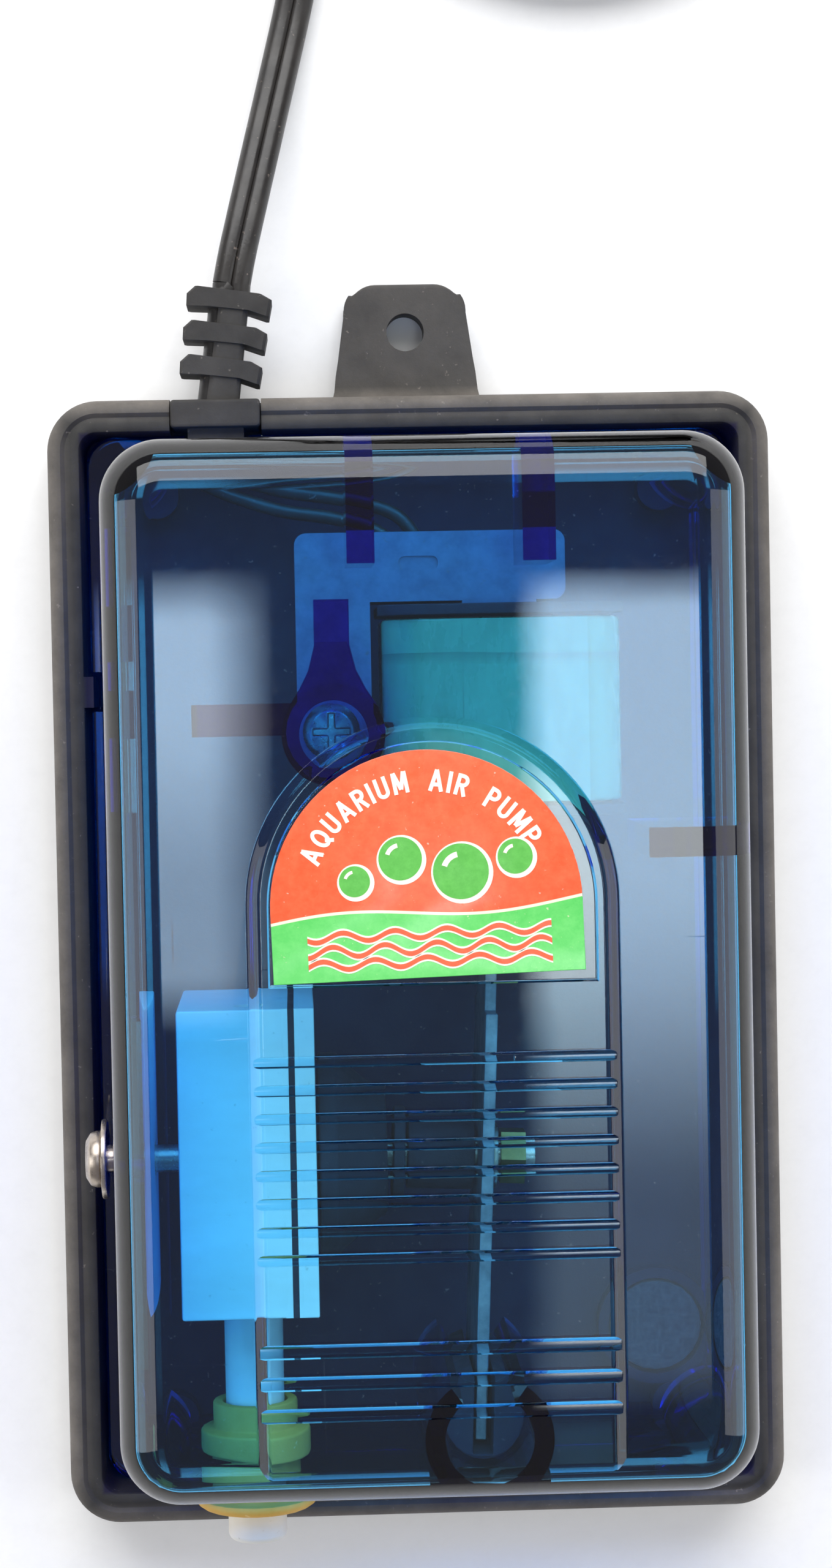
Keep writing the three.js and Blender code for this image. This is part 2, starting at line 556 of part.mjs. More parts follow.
const boltSection = [[0, 0], [1.6, 0], [1.6, 17.2], [2.9, 17.2], [2.9, 18.9], [2.2, 19.9], [0, 20.1]];
const coreBolt = turned(boltSection, 24).rotateX(Math.PI / 2);
const crossSlots = [block(-1.9, 1.9, -0.35, 0.35, 18.9, 21), block(-0.35, 0.35, -1.9, 1.9, 18.9, 21)];
const BOLT_LOW = CORE.z1 + 0.2 - 17.2;
add("core_bolt", cut(coreBolt, ...crossSlots).translate(EAR.x, EAR.y, BOLT_LOW), "nickel");
add("core_nut", cut(barZ(EAR.x, EAR.y, 3.2, 12.1, 14.7, 6), barZ(EAR.x, EAR.y, 1.9, 11, 16, 16)), "nickel");

const LEAD_THICK = 1.5;
const LEAD_ROUTES = {
  lead_live: [
    [-20.4, 52.2, 8], [-17.5, 51.6, 8.4], [-13, 50.4, 9.2], [-7, 49.4, 10.2],
    [-1.5, 47.6, 11], [1.2, 43.6, 11.4], [1.9, 40, 11.8], [2, 38.2, 12],
  ],
  lead_neutral: [
    [-22.3, 51.5, 8], [-18.8, 50, 8.4], [-13.8, 48.4, 9.2], [-8, 47.4, 10.2],
    [-3.4, 45.8, 11], [-0.9, 42.8, 11.4], [-0.1, 40, 11.8], [0, 38.2, 12],
  ],
};
for (const [name, points] of Object.entries(LEAD_ROUTES)) {
  add(name, tube(points, LEAD_THICK, LEAD_THICK, 8, 22), "cordSkin");
}

// ---- mains lead ---------------------------------------------------------------------------------------------

/** The comb-shaped strain relief: a neck, a block in the rim's notch, a spine and three cross bars. */
function strainRelief() {
  const r = RELIEF;
  const flange = prism(roundedPlate(4.8, 1.5, 1.5, 0.5), -3.6, 4.4, 0.4, 2, 3);
  const neck = block(-3, 3, -5.6, 0, -2.6, 3);
  const spineEnd = 13.5;
  const spine = new THREE.Shape();
  spine.moveTo(-2.6, 1);
  spine.lineTo(2.6, 1);
  spine.lineTo(2.1, spineEnd);
  spine.lineTo(-2.1, spineEnd);
  spine.closePath();
  const core = prism(spine, -r.thick / 2, r.thick / 2, 0.6, 2);
  const bars = [0, 1, 2].map((i) => {
    const y0 = spineEnd - 0.2 - r.barLong - i * r.pitch;
    const plan = roundedPlate(r.barWide / 2, y0 + r.barLong, -y0, 0.5);
    return prism(plan, -r.thick / 2 - 0.4, r.thick / 2 + 0.4, 0.4, 2, 3);
  });
  const comb = join(core, ...bars).rotateZ(-r.tilt);
  return join(flange, neck, comb).translate(r.x, r.y, r.z);
}

add("strain_relief", strainRelief(), "blackRubber");

const cordRoute = [
  [-18.73, 72.85, 8], [-18.1, 76, 7.8], [-17.2, 79.8, 7.2], [-16.1, 84.4, 6.1], [-14.95, 89.2, 4.8],
  [-13.8, 94, 3.4], [-12.7, 98.6, 2.2], [-11.65, 103, 1.55], [-10.7, 107.4, 1.45], [-9.95, 112, 1.45],
  [-9.45, 116.5, 1.45], [-9.3, 120.3, 1.45],
];
add("power_cord", tube(cordRoute, CORD.wide, CORD.thick, 10, 18), "cordSkin");

/** The stored length as one ring that holds its turns. */
function cordCoil() {
  const { x, y, innerTurn, outerTurn, top } = COIL_OF_CORD;
  const inner = innerTurn - CORD.wide / 2;
  const outer = outerTurn + CORD.wide / 2;
  const section = [[inner, 0.9], [inner + 0.9, 0.05], [outer - 0.9, 0.05], [outer, 0.9], [outer, top - 0.9]];
  section.push([outer - 0.9, top], [inner + 0.9, top], [inner, top - 0.9]);
  return turned(section, 40).rotateX(Math.PI / 2).translate(x, y, 0);
}

add("power_cord_coil", cordCoil(), "cordSkin");

const plugRoute = [
  [1.5, 147.2, 7.9], [4.2, 148.3, 9.6], [6.8, 148.85, 11.3],
  [9.4, 148.9, 12.6], [11.2, 148.9, 13], [12.8, 148.9, 13.05],
];
add("power_cord_end", tube(plugRoute, CORD.wide, CORD.thick, 10, 6), "cordSkin");

/** The plug's body: a flat wedge that widens to the pin face, with a round tapered sleeve for the cord. */
function plugBody() {
  const { relief, length, half: wide, thick } = PLUG;
  const shape = new THREE.Shape();
  const start = relief - 0.5;
  const end = relief + length;
  shape.moveTo(start, -5.2);
  shape.quadraticCurveTo(start + 5, -6, start + 8, -wide + 4);
  shape.lineTo(start + 11, -wide);
  shape.lineTo(end, -wide + 1.5);
  shape.lineTo(end, wide - 1.5);
  shape.lineTo(start + 11, wide);
  shape.lineTo(start + 8, wide - 4);
  shape.quadraticCurveTo(start + 5, 6, start, 5.2);
  shape.closePath();
  const body = prism(shape, -thick / 2, thick / 2, 1.6, 3, 4);
  const sleeve = barX(0, relief + 1.5, 0, 0, 2.9, 4.6, 16);
  return join(body, sleeve).translate(PLUG.x, PLUG.y, PLUG.z);
}

add("plug_body", plugBody(), "blackRubber");
const pinStart = PLUG.x + PLUG.relief + PLUG.length + 0.2;
["plug_pin_a", "plug_pin_b"].forEach((name, i) => {
  const y = PLUG.y + (i ? -1 : 1) * PIN.half;
  const section = [[0, 0], [PIN.r, 0], [PIN.r, PIN.long - 1], [PIN.r - 0.9, PIN.long], [0, PIN.long]];
  const points = section.map(([r, h]) => new THREE.Vector2(r, h));
  const pin = new THREE.LatheGeometry(points, 16).rotateZ(-Math.PI / 2);
  add(name, pin.translate(pinStart, y, PLUG.z), "nickel");
});

export default pump;
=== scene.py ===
"""Looks of a small diaphragm air pump: clear blue cover, black rubber tray, coiled mains lead.

Metres, +Z up, origin at the centre of the base's underside, hang tab and lead towards +Y.
"""

import math

import bmesh
import bpy
from mathutils import Euler, Matrix, Vector, noise


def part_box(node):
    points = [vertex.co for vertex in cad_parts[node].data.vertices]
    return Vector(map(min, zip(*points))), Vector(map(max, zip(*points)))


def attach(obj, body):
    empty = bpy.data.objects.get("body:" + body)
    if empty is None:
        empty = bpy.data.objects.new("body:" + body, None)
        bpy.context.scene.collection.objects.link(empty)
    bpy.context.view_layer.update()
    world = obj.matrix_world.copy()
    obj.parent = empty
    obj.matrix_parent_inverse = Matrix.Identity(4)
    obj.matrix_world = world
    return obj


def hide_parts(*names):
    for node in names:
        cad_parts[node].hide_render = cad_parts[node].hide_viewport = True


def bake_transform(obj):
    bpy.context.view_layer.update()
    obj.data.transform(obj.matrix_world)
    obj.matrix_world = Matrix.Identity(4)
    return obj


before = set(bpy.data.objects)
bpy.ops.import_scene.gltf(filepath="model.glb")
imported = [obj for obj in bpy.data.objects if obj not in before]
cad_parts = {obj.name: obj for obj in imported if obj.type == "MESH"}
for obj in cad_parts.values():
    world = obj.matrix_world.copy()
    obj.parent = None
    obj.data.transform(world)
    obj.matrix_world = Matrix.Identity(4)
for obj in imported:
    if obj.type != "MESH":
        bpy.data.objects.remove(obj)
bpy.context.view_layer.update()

MM = 0.001


def mm(x, y, z):
    """A point given in millimetres."""
    return Vector((x, y, z)) * MM


# ---- camera ----


def make_camera():
    """Looks almost straight down on the cover from 356 mm, as a phone held over the pump would."""
    data = bpy.data.cameras.new("camera")
    data.sensor_width = 36
    data.lens = 73.66
    data.clip_start = 0.01
    data.clip_end = 20
    camera = bpy.data.objects.new("camera", data)
    camera.location = mm(-12.898, 30.183, 355.547)
    camera.rotation_euler = Euler([math.radians(a) for a in (-1.849, -2.18, -1.126)])
    bpy.context.scene.collection.objects.link(camera)
    bpy.context.scene.camera = camera


make_camera()

# ---- mesh tools ----


def add_object(name, data):
    ob = bpy.data.objects.new(name, data)
    bpy.context.scene.collection.objects.link(ob)
    return ob


def mesh_object(name, points, faces):
    """A mesh object from points in metres, with its faces turned outwards."""
    mesh = bpy.data.meshes.new(name)
    mesh.from_pydata([tuple(p) for p in points], [], faces)
    bm = bmesh.new()
    bm.from_mesh(mesh)
    bmesh.ops.recalc_face_normals(bm, faces=bm.faces)
    bm.to_mesh(mesh)
    bm.free()
    return add_object(name, mesh)


def finish_piece(ob, body, material, replaced=(), crease=30):
    """Smooth shading up to the crease angle, then material and body, and hides the CAD nodes it stands for.
    """
    mesh = ob.data
    for polygon in mesh.polygons:
        polygon.use_smooth = True
    mesh.set_sharp_from_angle(angle=math.radians(crease))
    mesh.materials.clear()
    mesh.materials.append(material)
    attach(ob, body)
    if replaced:
        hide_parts(*replaced)
    return ob


def apply_modifiers(ob):
    depsgraph = bpy.context.evaluated_depsgraph_get()
    mesh = bpy.data.meshes.new_from_object(ob.evaluated_get(depsgraph))
    ob.modifiers.clear()
    old = ob.data
    ob.data = mesh
    bpy.data.meshes.remove(old)
    return ob


def soften(ob, width, angle=35):
    """Rounds the edges that are sharper than the angle."""
    bevel = ob.modifiers.new("round edges", "BEVEL")
    bevel.width = width
    bevel.segments = 2
    bevel.limit_method = "ANGLE"
    bevel.angle_limit = math.radians(angle)
    bevel.use_clamp_overlap = True
    bevel.miter_outer = "MITER_ARC"
    return apply_modifiers(ob)


def weight_normals(ob):
    """Keeps broad faces flat in shading beside narrow rounded edges."""
    modifier = ob.modifiers.new("normals", "WEIGHTED_NORMAL")
    modifier.keep_sharp = True
    modifier.weight = 80
    return ob


def refined(node, name, width):
    """A new mesh on a CAD node's shape, with merged faces and rounded edges."""
    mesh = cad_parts[node].data.copy()
    bm = bmesh.new()
    bm.from_mesh(mesh)
    bmesh.ops.remove_doubles(bm, verts=bm.verts, dist=1e-6)
    bmesh.ops.dissolve_limit(bm, angle_limit=math.radians(0.6), verts=bm.verts, edges=bm.edges)
    bmesh.ops.recalc_face_normals(bm, faces=bm.faces)
    bm.to_mesh(mesh)
    bm.free()
    mesh.name = name
    if "sharp_edge" in mesh.attributes:
        mesh.attributes.remove(mesh.attributes["sharp_edge"])
    ob = add_object(name, mesh)
    return soften(ob, width)


def boolean(ob, other, operation):
    modifier = ob.modifiers.new("cut", "BOOLEAN")
    modifier.operation = operation
    modifier.solver = "EXACT"
    modifier.object = other
    apply_modifiers(ob)
    mesh = other.data
    bpy.data.objects.remove(other)
    bpy.data.meshes.remove(mesh)
    return ob


def catmull(points, steps):
    """Points along a smooth curve through the given ones."""
    out = []
    ends = [points[0] * 2 - points[1], *points, points[-1] * 2 - points[-2]]
    for a, b, c, d in zip(ends, ends[1:], ends[2:], ends[3:]):
        for k in range(steps):
            t = k / steps
            square = 2 * a - 5 * b + 4 * c - d
            cube = 3 * b - a - 3 * c + d
            out.append(0.5 * (2 * b + (c - a) * t + square * t * t + cube * t**3))
    out.append(points[-1].copy())
    return out


def evenly(points, spacing):
    """The same line with points a fixed distance apart."""
    length = sum((b - a).length for a, b in zip(points, points[1:]))
    count = max(2, round(length / spacing))
    step = length / count
    out, travelled, target = [points[0].copy()], 0.0, step
    for a, b in zip(points, points[1:]):
        part = (b - a).length
        while part and travelled + part >= target - 1e-12 and len(out) < count:
            out.append(a.lerp(b, (target - travelled) / part))
            target += step
        travelled += part
    out.append(points[-1].copy())
    return out


def sweep(name, line, section):
    """A closed tube: the section's (across, up) offsets in mm are carried along the line."""
    points, faces = [], []
    sides = len(section)
    for i, p in enumerate(line):
        along = (line[min(i + 1, len(line) - 1)] - line[max(i - 1, 0)]).normalized()
        across = along.cross(Vector((0, 0, 1))).normalized()
        over = across.cross(along).normalized()
        points.extend(p + across * (u * MM) + over * (v * MM) for u, v in section)
    for i in range(len(line) - 1):
        for s in range(sides):
            n = (s + 1) % sides
            faces.append((i * sides + s, i * sides + n, (i + 1) * sides + n, (i + 1) * sides + s))
    faces.append(tuple(range(sides)))
    last = (len(line) - 1) * sides
    faces.append(tuple(last + s for s in range(sides)))
    return mesh_object(name, points, faces)


def arc(centre, radius, start, end, steps):
    """(x, y) points on an arc, in degrees."""
    return [
        (
            centre[0] + radius * math.cos(math.radians(start + (end - start) * k / steps)),
            centre[1] + radius * math.sin(math.radians(start + (end - start) * k / steps)),
        )
        for k in range(steps + 1)
    ]


def rounded_outline(half_x, rear, front, corner, steps):
    """(x, y) points of a rectangle with round corners, in mm; rear is its +Y side and front its -Y side."""
    out = []
    centres = (
        (half_x - corner, rear - corner),
        (corner - half_x, rear - corner),
        (corner - half_x, corner - front),
        (half_x - corner, corner - front),
    )
    for quarter, centre in enumerate(centres):
        out += arc(centre, corner, 90 * quarter, 90 * quarter + 90, steps)
    return out


def arch_outline(half, arch_y, low):
    """(x, y) points of a doorway shape with a half-round top, in mm."""
    return [(-half, low), (half, low), *arc((0, arch_y), half, 0, 180, 64)]


def loft(name, rings):
    """A closed body through rings of the same number of (x, y, z) points in mm."""
    count = len(rings[0])
    points = [mm(*p) for ring in rings for p in ring]
    faces = [tuple(range(count)), tuple(range(len(points) - count, len(points)))]
    for i in range(len(rings) - 1):
        for k in range(count):
            n = (k + 1) % count
            faces.append((i * count + k, i * count + n, (i + 1) * count + n, (i + 1) * count + k))
    return mesh_object(name, points, faces)


def block(x0, x1, y0, y1, z0, z1):
    corners = [(x0, y0), (x1, y0), (x1, y1), (x0, y1)]
    return loft("block", [[(x, y, z) for x, y in corners] for z in (z0, z1)])


def pillar(x, y, radius, z0, z1, steps=48):
    outline = arc((x, y), radius, 0, 360 - 360 / steps, steps - 1)
    return loft("pillar", [[(u, v, z) for u, v in outline] for z in (z0, z1)])


def rod(start, end, radius, steps=32):
    """A level round bar between two points in mm, for cutting."""
    return sweep("rod", [mm(*start), mm(*end)], round_section(radius, steps))


def add_all(ob, others):
    for other in others:
        boolean(ob, other, "UNION")
    return ob


def cut_all(ob, others):
    for other in others:
        boolean(ob, other, "DIFFERENCE")
    return ob


def tidy_mesh(ob):
    """Welds the seams that booleans leave and drops edges and faces without size."""
    bm = bmesh.new()
    bm.from_mesh(ob.data)
    bmesh.ops.remove_doubles(bm, verts=bm.verts, dist=2e-6)
    bmesh.ops.dissolve_degenerate(bm, dist=1e-6, edges=bm.edges)
    bm.to_mesh(ob.data)
    bm.free()


def round_section(radius, sides=16):
    angles = [2 * math.pi * k / sides for k in range(sides)]
    return [(radius * math.cos(a), radius * math.sin(a)) for a in angles]


# ---- material tools ----


def srgb(*rgb):
    """Linear colour from 0-255 screen values."""
    return tuple((v / 255 / 12.92 if v <= 10 else ((v / 255 + 0.055) / 1.055) ** 2.4) for v in rgb) + (1.0,)


def set_socket(tree, socket, value):
    """Links a node's output, or writes a plain value."""
    if isinstance(value, bpy.types.NodeSocket):
        tree.links.new(value, socket)
    else:
        socket.default_value = value


def tree_maths(tree, operation, a, b):
    node = tree.nodes.new("ShaderNodeMath")
    node.operation = operation
    set_socket(tree, node.inputs[0], a)
    set_socket(tree, node.inputs[1], b)
    return node.outputs[0]


class Surface:
    """A Principled material with object coordinates, and short calls for noise, ramps, mixes and bump."""

    def __init__(self, name, roughness=0.5, metallic=0.0, specular=0.5):
        self.material = bpy.data.materials.new(name)
        self.material.use_nodes = True
        self.nodes = self.material.node_tree.nodes
        self.links = self.material.node_tree.links
        self.shader = self.nodes["Principled BSDF"]
        self.output = self.nodes["Material Output"]
        self.shader.inputs["Roughness"].default_value = roughness
        self.shader.inputs["Metallic"].default_value = metallic
        self.shader.inputs["Specular IOR Level"].default_value = specular
        self.place = self.nodes.new("ShaderNodeTexCoord").outputs["Object"]
        self.last_normal = None

    def new(self, kind, **values):
        node = self.nodes.new(kind)
        for key, value in values.items():
            setattr(node, key, value)
        return node

    def set(self, socket, value):
        set_socket(self.material.node_tree, socket, value)

    def stretched(self, scale, turn=(0, 0, 0)):
        node = self.new("ShaderNodeMapping")
        self.links.new(self.place, node.inputs["Vector"])
        node.inputs["Scale"].default_value = scale
        node.inputs["Rotation"].default_value = turn
        return node.outputs["Vector"]

    def noise(self, scale, detail=4, rough=0.5, vector=None):
        node = self.new("ShaderNodeTexNoise")
        self.links.new(vector or self.place, node.inputs["Vector"])
        node.inputs["Scale"].default_value = scale
        node.inputs["Detail"].default_value = detail
        node.inputs["Roughness"].default_value = rough
        return node.outputs["Fac"]

    def wave(self, scale, axis, distortion=0.0, profile="SIN"):
        node = self.new("ShaderNodeTexWave", bands_direction=axis, wave_profile=profile)
        self.links.new(self.place, node.inputs["Vector"])
        node.inputs["Scale"].default_value = scale
        node.inputs["Distortion"].default_value = distortion
        return node.outputs["Fac"]

    def span(self, value, low, high, to_low=0.0, to_high=1.0):
        node = self.new("ShaderNodeMapRange")
        self.set(node.inputs["Value"], value)
        for key, number in (("From Min", low), ("From Max", high), ("To Min", to_low), ("To Max", to_high)):
            node.inputs[key].default_value = number
        return node.outputs["Result"]

    def maths(self, operation, a, b=0.0):
        return tree_maths(self.material.node_tree, operation, a, b)

    def mix(self, factor, a, b):
        node = self.new("ShaderNodeMix", data_type="RGBA")
        self.set(node.inputs["Factor"], factor)
        self.set(node.inputs["A"], a)
        self.set(node.inputs["B"], b)
        return node.outputs["Result"]

    def colour(self, value):
        self.set(self.shader.inputs["Base Color"], value)
        return self

    def roughness(self, value):
        self.set(self.shader.inputs["Roughness"], value)
        return self

    def bump(self, height, distance, strength=1.0):
        node = self.new("ShaderNodeBump")
        node.inputs["Strength"].default_value = strength
        node.inputs["Distance"].default_value = distance
        self.links.new(height, node.inputs["Height"])
        if self.last_normal:
            self.links.new(self.last_normal, node.inputs["Normal"])
        self.last_normal = node.outputs["Normal"]
        self.links.new(self.last_normal, self.shader.inputs["Normal"])
        return self


def rubber(name, dark, light, dust, grain=2600, dusty=0.0, inside=None):
    """Matte moulded rubber: fine grain, mottling, pale specks, dust where `dusty` says, and painted blue
    light where `inside` says.
    """
    s = Surface(name, specular=0.35)
    mottle = s.span(s.noise(130, 6, 0.65), 0.32, 0.72)
    base = s.mix(mottle, dark, light)
    if dusty:
        patches = s.span(s.noise(170, 5, 0.7), 0.25, 0.75, 0.35 * dusty, dusty)
        worn = s.maths("MULTIPLY", near_outline(s), patches)
        base = s.mix(worn, base, dust)
    # painted blue light: the `inside` colour on the floor and inner walls stands in for light tinted by the
    # cover
    if inside:
        base = s.mix(painted_blue_light_area(s), base, inside)
    specks = s.span(s.noise(1100, 2, 0.8), 0.68, 0.75, 0, 0.5)
    base = s.mix(specks, base, dust)
    s.colour(base)
    s.roughness(s.span(s.noise(320, 3), 0.3, 0.7, 0.64, 0.86))
    s.bump(s.noise(grain, 4, 0.7), 0.06 * MM, 0.6)
    return s.material


def box_distance(s, half_x, half_y):
    """How far a point lies outside a rectangle on the origin, in metres, negative inside."""
    axes = s.new("ShaderNodeSeparateXYZ")
    s.links.new(s.place, axes.inputs[0])
    past_x = s.maths("SUBTRACT", s.maths("ABSOLUTE", axes.outputs["X"]), half_x * MM)
    past_y = s.maths("SUBTRACT", s.maths("ABSOLUTE", axes.outputs["Y"]), half_y * MM)
    return s.maths("MAXIMUM", past_x, past_y)


def near_outline(s):
    """1 on the tray's outer wall and the outside of its rim, falling to 0 towards the groove."""
    distance = box_distance(s, 38.8, 60.5)
    rising = s.span(distance, -2.6 * MM, -0.1 * MM)
    return s.maths("MULTIPLY", rising, s.span(distance, 0.3 * MM, 1.5 * MM, 1, 0.25))


def painted_blue_light_area(s):
    """1 on the tray's floor and inner walls, where the painted blue light goes."""
    return s.span(box_distance(s, 35.3, 57.0), 0.1 * MM, -0.3 * MM)


def black_rubber():
    """The tray: dusty brown-grey outside; under the cover, free of dust, a deep blue-black that is painted
    blue light from the cover's plastic.
    """
    # inside: painted blue light, a blue-black standing in for light tinted by the cover
    return rubber("black_rubber", srgb(42, 42, 42), srgb(62, 61, 59), srgb(136, 129, 121), dusty=0.75,
                  inside=srgb(29, 26, 50))


def relief_rubber():
    return rubber("relief_rubber", srgb(45, 44, 43), srgb(66, 64, 62), srgb(124, 118, 110), grain=1900)


def dark_rubber():
    """Rubber of the parts inside, free of dust."""
    return rubber("inner_rubber", srgb(28, 26, 36), srgb(40, 38, 48), srgb(80, 78, 82), grain=3800)


def plug_rubber():
    return rubber("plug_rubber", srgb(28, 27, 27), srgb(42, 41, 40), srgb(92, 88, 84), grain=3000)


def yellow_rubber():
    return rubber("yellow_rubber", srgb(208, 160, 66), srgb(226, 182, 92), srgb(246, 222, 160), grain=3400)


def cord_jacket():
    """Flexible PVC: slightly shiny, mottled, with pale handling marks."""
    s = Surface("cord_jacket", specular=0.5)
    mottle = s.span(s.noise(220, 5, 0.6), 0.35, 0.7)
    base = s.mix(mottle, srgb(27, 25, 24), srgb(44, 41, 38))
    base = s.mix(s.span(s.noise(1400, 2, 0.8), 0.66, 0.76, 0, 0.5), base, srgb(140, 126, 116))
    s.colour(base)
    s.roughness(s.span(s.noise(420, 4), 0.3, 0.7, 0.27, 0.42))
    s.bump(s.noise(2600, 4, 0.6), 0.03 * MM, 0.5)
    return s.material


def white_plastic():
    """Moulded plastic with a faint flow pattern, tan flecks and a satin grain."""
    s = Surface("white_plastic")
    flow = s.span(s.noise(60, 6, 0.6, s.stretched((1, 3, 1))), 0.3, 0.7)
    base = s.mix(flow, srgb(226, 222, 208), srgb(240, 238, 228))
    s.colour(s.mix(s.span(s.noise(1600, 2, 0.7), 0.68, 0.76, 0, 0.5), base, srgb(196, 188, 168)))
    s.roughness(s.span(s.noise(500, 4), 0.3, 0.7, 0.34, 0.52))
    s.bump(s.noise(2400, 4, 0.6), 0.02 * MM, 0.4)
    return s.material


def metal(name, dark, light, rough, grain_along, brushed=700):
    """Plated or rolled metal: brushed grain, slight tarnish and small pits."""
    s = Surface(name, metallic=1.0)
    scale = [1.0, 1.0, 1.0]
    scale[grain_along] = 0.04
    lines = s.noise(brushed * 6, 3, 0.7, s.stretched(tuple(scale)))
    tarnish = s.span(s.noise(260, 5, 0.65), 0.35, 0.7)
    s.colour(s.mix(tarnish, dark, light))
    brushing = s.span(lines, 0.3, 0.7, rough - 0.07, rough + 0.08)
    s.roughness(s.maths("ADD", brushing, s.span(tarnish, 0, 1, 0.08, 0)))
    s.bump(lines, 0.01 * MM, 0.5)
    s.bump(s.noise(1800, 3, 0.7), 0.012 * MM, 0.3)
    return s.material


def core_steel():
    """Silicon-steel laminations: pale blue-grey sheet, stacked 0.5 mm lines on every upright face."""
    s = Surface("core_steel", metallic=0.55)
    upright = s.new("ShaderNodeSeparateXYZ")
    geometry = s.new("ShaderNodeNewGeometry")
    s.links.new(geometry.outputs["Normal"], upright.inputs[0])
    side = s.span(s.maths("ABSOLUTE", upright.outputs["Z"]), 0.5, 0.2)
    stack = s.wave(2 * math.pi / (0.5 * MM) / 20, "Z")
    gaps = s.maths("MULTIPLY", s.span(stack, 0.0, 0.35, 1, 0), side)
    bloom = s.span(s.noise(180, 6, 0.7), 0.35, 0.72)
    base = s.mix(bloom, srgb(90, 102, 126), srgb(120, 132, 156))
    base = s.mix(s.span(s.noise(700, 4, 0.8), 0.62, 0.75, 0, 0.45), base, srgb(120, 96, 74))
    s.colour(s.mix(gaps, base, srgb(52, 52, 58)))
    s.roughness(s.span(s.noise(420, 4), 0.3, 0.7, 0.38, 0.58))
    s.bump(s.maths("MULTIPLY", stack, side), 0.08 * MM, 0.7)
    s.bump(s.noise(1500, 4, 0.7), 0.02 * MM, 0.4)
    return s.material


def spring_steel():
    return metal("spring_steel", srgb(112, 118, 126), srgb(160, 166, 172), 0.36, 1)


def nickel():
    return metal("nickel", srgb(176, 164, 150), srgb(214, 206, 196), 0.26, 2, 500)


def brass():
    return metal("brass", srgb(122, 108, 66), srgb(158, 142, 92), 0.32, 0, 500)


def coil_tape():
    """Green polyester tape over the winding: smooth wraps with lapped edges and small creases."""
    s = Surface("coil_tape")
    wraps = s.wave(math.pi / 20 / (8.2 * MM), "Y", 0.4, "SAW")
    lap = s.span(wraps, 0.93, 1.0)
    creases = s.noise(210, 5, 0.6, s.stretched((1, 0.35, 1)))
    base = s.mix(s.span(creases, 0.35, 0.7), srgb(92, 152, 112), srgb(116, 172, 130))
    s.colour(s.mix(s.maths("MULTIPLY", lap, 0.6), base, srgb(60, 112, 84)))
    s.roughness(s.span(creases, 0.3, 0.7, 0.2, 0.36))
    s.bump(lap, 0.08 * MM, 0.8)
    s.bump(creases, 0.12 * MM, 0.6)
    return s.material


def ferrite():
    s = Surface("ferrite", metallic=0.2)
    grain = s.noise(1500, 5, 0.75)
    s.colour(s.mix(s.span(grain, 0.35, 0.7), srgb(44, 44, 50), srgb(84, 84, 90)))
    s.roughness(s.span(grain, 0.3, 0.7, 0.5, 0.72))
    s.bump(grain, 0.05 * MM, 0.7)
    return s.material


def felt():
    """Loose wool fibres in every direction."""
    s = Surface("felt", specular=0.2)
    fibres = s.noise(1800, 6, 0.8, s.stretched((1, 0.35, 1)))
    more = s.noise(1500, 6, 0.8, s.stretched((0.35, 1, 1), (0, 0, 0.6)))
    both = s.maths("MAXIMUM", fibres, more)
    s.colour(s.mix(s.span(both, 0.4, 0.75), srgb(58, 58, 60), srgb(104, 102, 100)))
    s.shader.inputs["Roughness"].default_value = 0.95
    s.shader.inputs["Sheen Weight"].default_value = 0.4
    s.bump(both, 0.3 * MM, 0.9)
    return s.material


CLEAR_DENSITY = 900.0  # absorption per metre of the channel the plastic takes most of
CLEAR_TINT = (0.0, 0.69, 0.93, 1.0)


def clear_blue():
    """Clear blue polystyrene: absorbs by depth, glossy, with hair scratches and moulding ripple."""
    s = Surface("clear_blue", roughness=0.02)
    s.shader.inputs["Base Color"].default_value = (1, 1, 1, 1)
    s.shader.inputs["Transmission Weight"].default_value = 1.0
    s.shader.inputs["IOR"].default_value = 1.52
    scuffs = s.noise(520, 5, 0.8)
    hair_a = s.noise(900, 2, 0.5, s.stretched((1, 0.03, 1), (0, 0, 0.9)))
    hair_b = s.noise(800, 2, 0.5, s.stretched((0.03, 1, 1), (0, 0, 0.5)))
    hairs = s.maths("MAXIMUM", s.span(hair_a, 0.74, 0.78), s.span(hair_b, 0.74, 0.78))
    s.roughness(s.maths("ADD", s.span(scuffs, 0.5, 0.8, 0.015, 0.07), s.maths("MULTIPLY", hairs, 0.15)))
    s.bump(s.noise(70, 2, 0.4), 0.05 * MM, 0.25)
    s.bump(hairs, 0.01 * MM, 0.4)
    path = s.new("ShaderNodeLightPath")
    through = s.new("ShaderNodeBsdfTransparent")
    both = s.new("ShaderNodeMixShader")
    s.links.new(path.outputs["Is Shadow Ray"], both.inputs[0])
    s.links.new(s.shader.outputs[0], both.inputs[1])
    s.links.new(through.outputs[0], both.inputs[2])
    s.links.new(both.outputs[0], s.output.inputs["Surface"])
    absorb = s.new("ShaderNodeVolumeAbsorption")
    absorb.inputs["Color"].default_value = CLEAR_TINT
    absorb.inputs["Density"].default_value = CLEAR_DENSITY
    s.links.new(absorb.outputs[0], s.output.inputs["Volume"])
    return s.material


LABEL_ARC = (-0.55, 8.2)  # centre of the label's round top, mm
LABEL_TURN = 0.028  # the label sits a little crooked in its pocket, radians


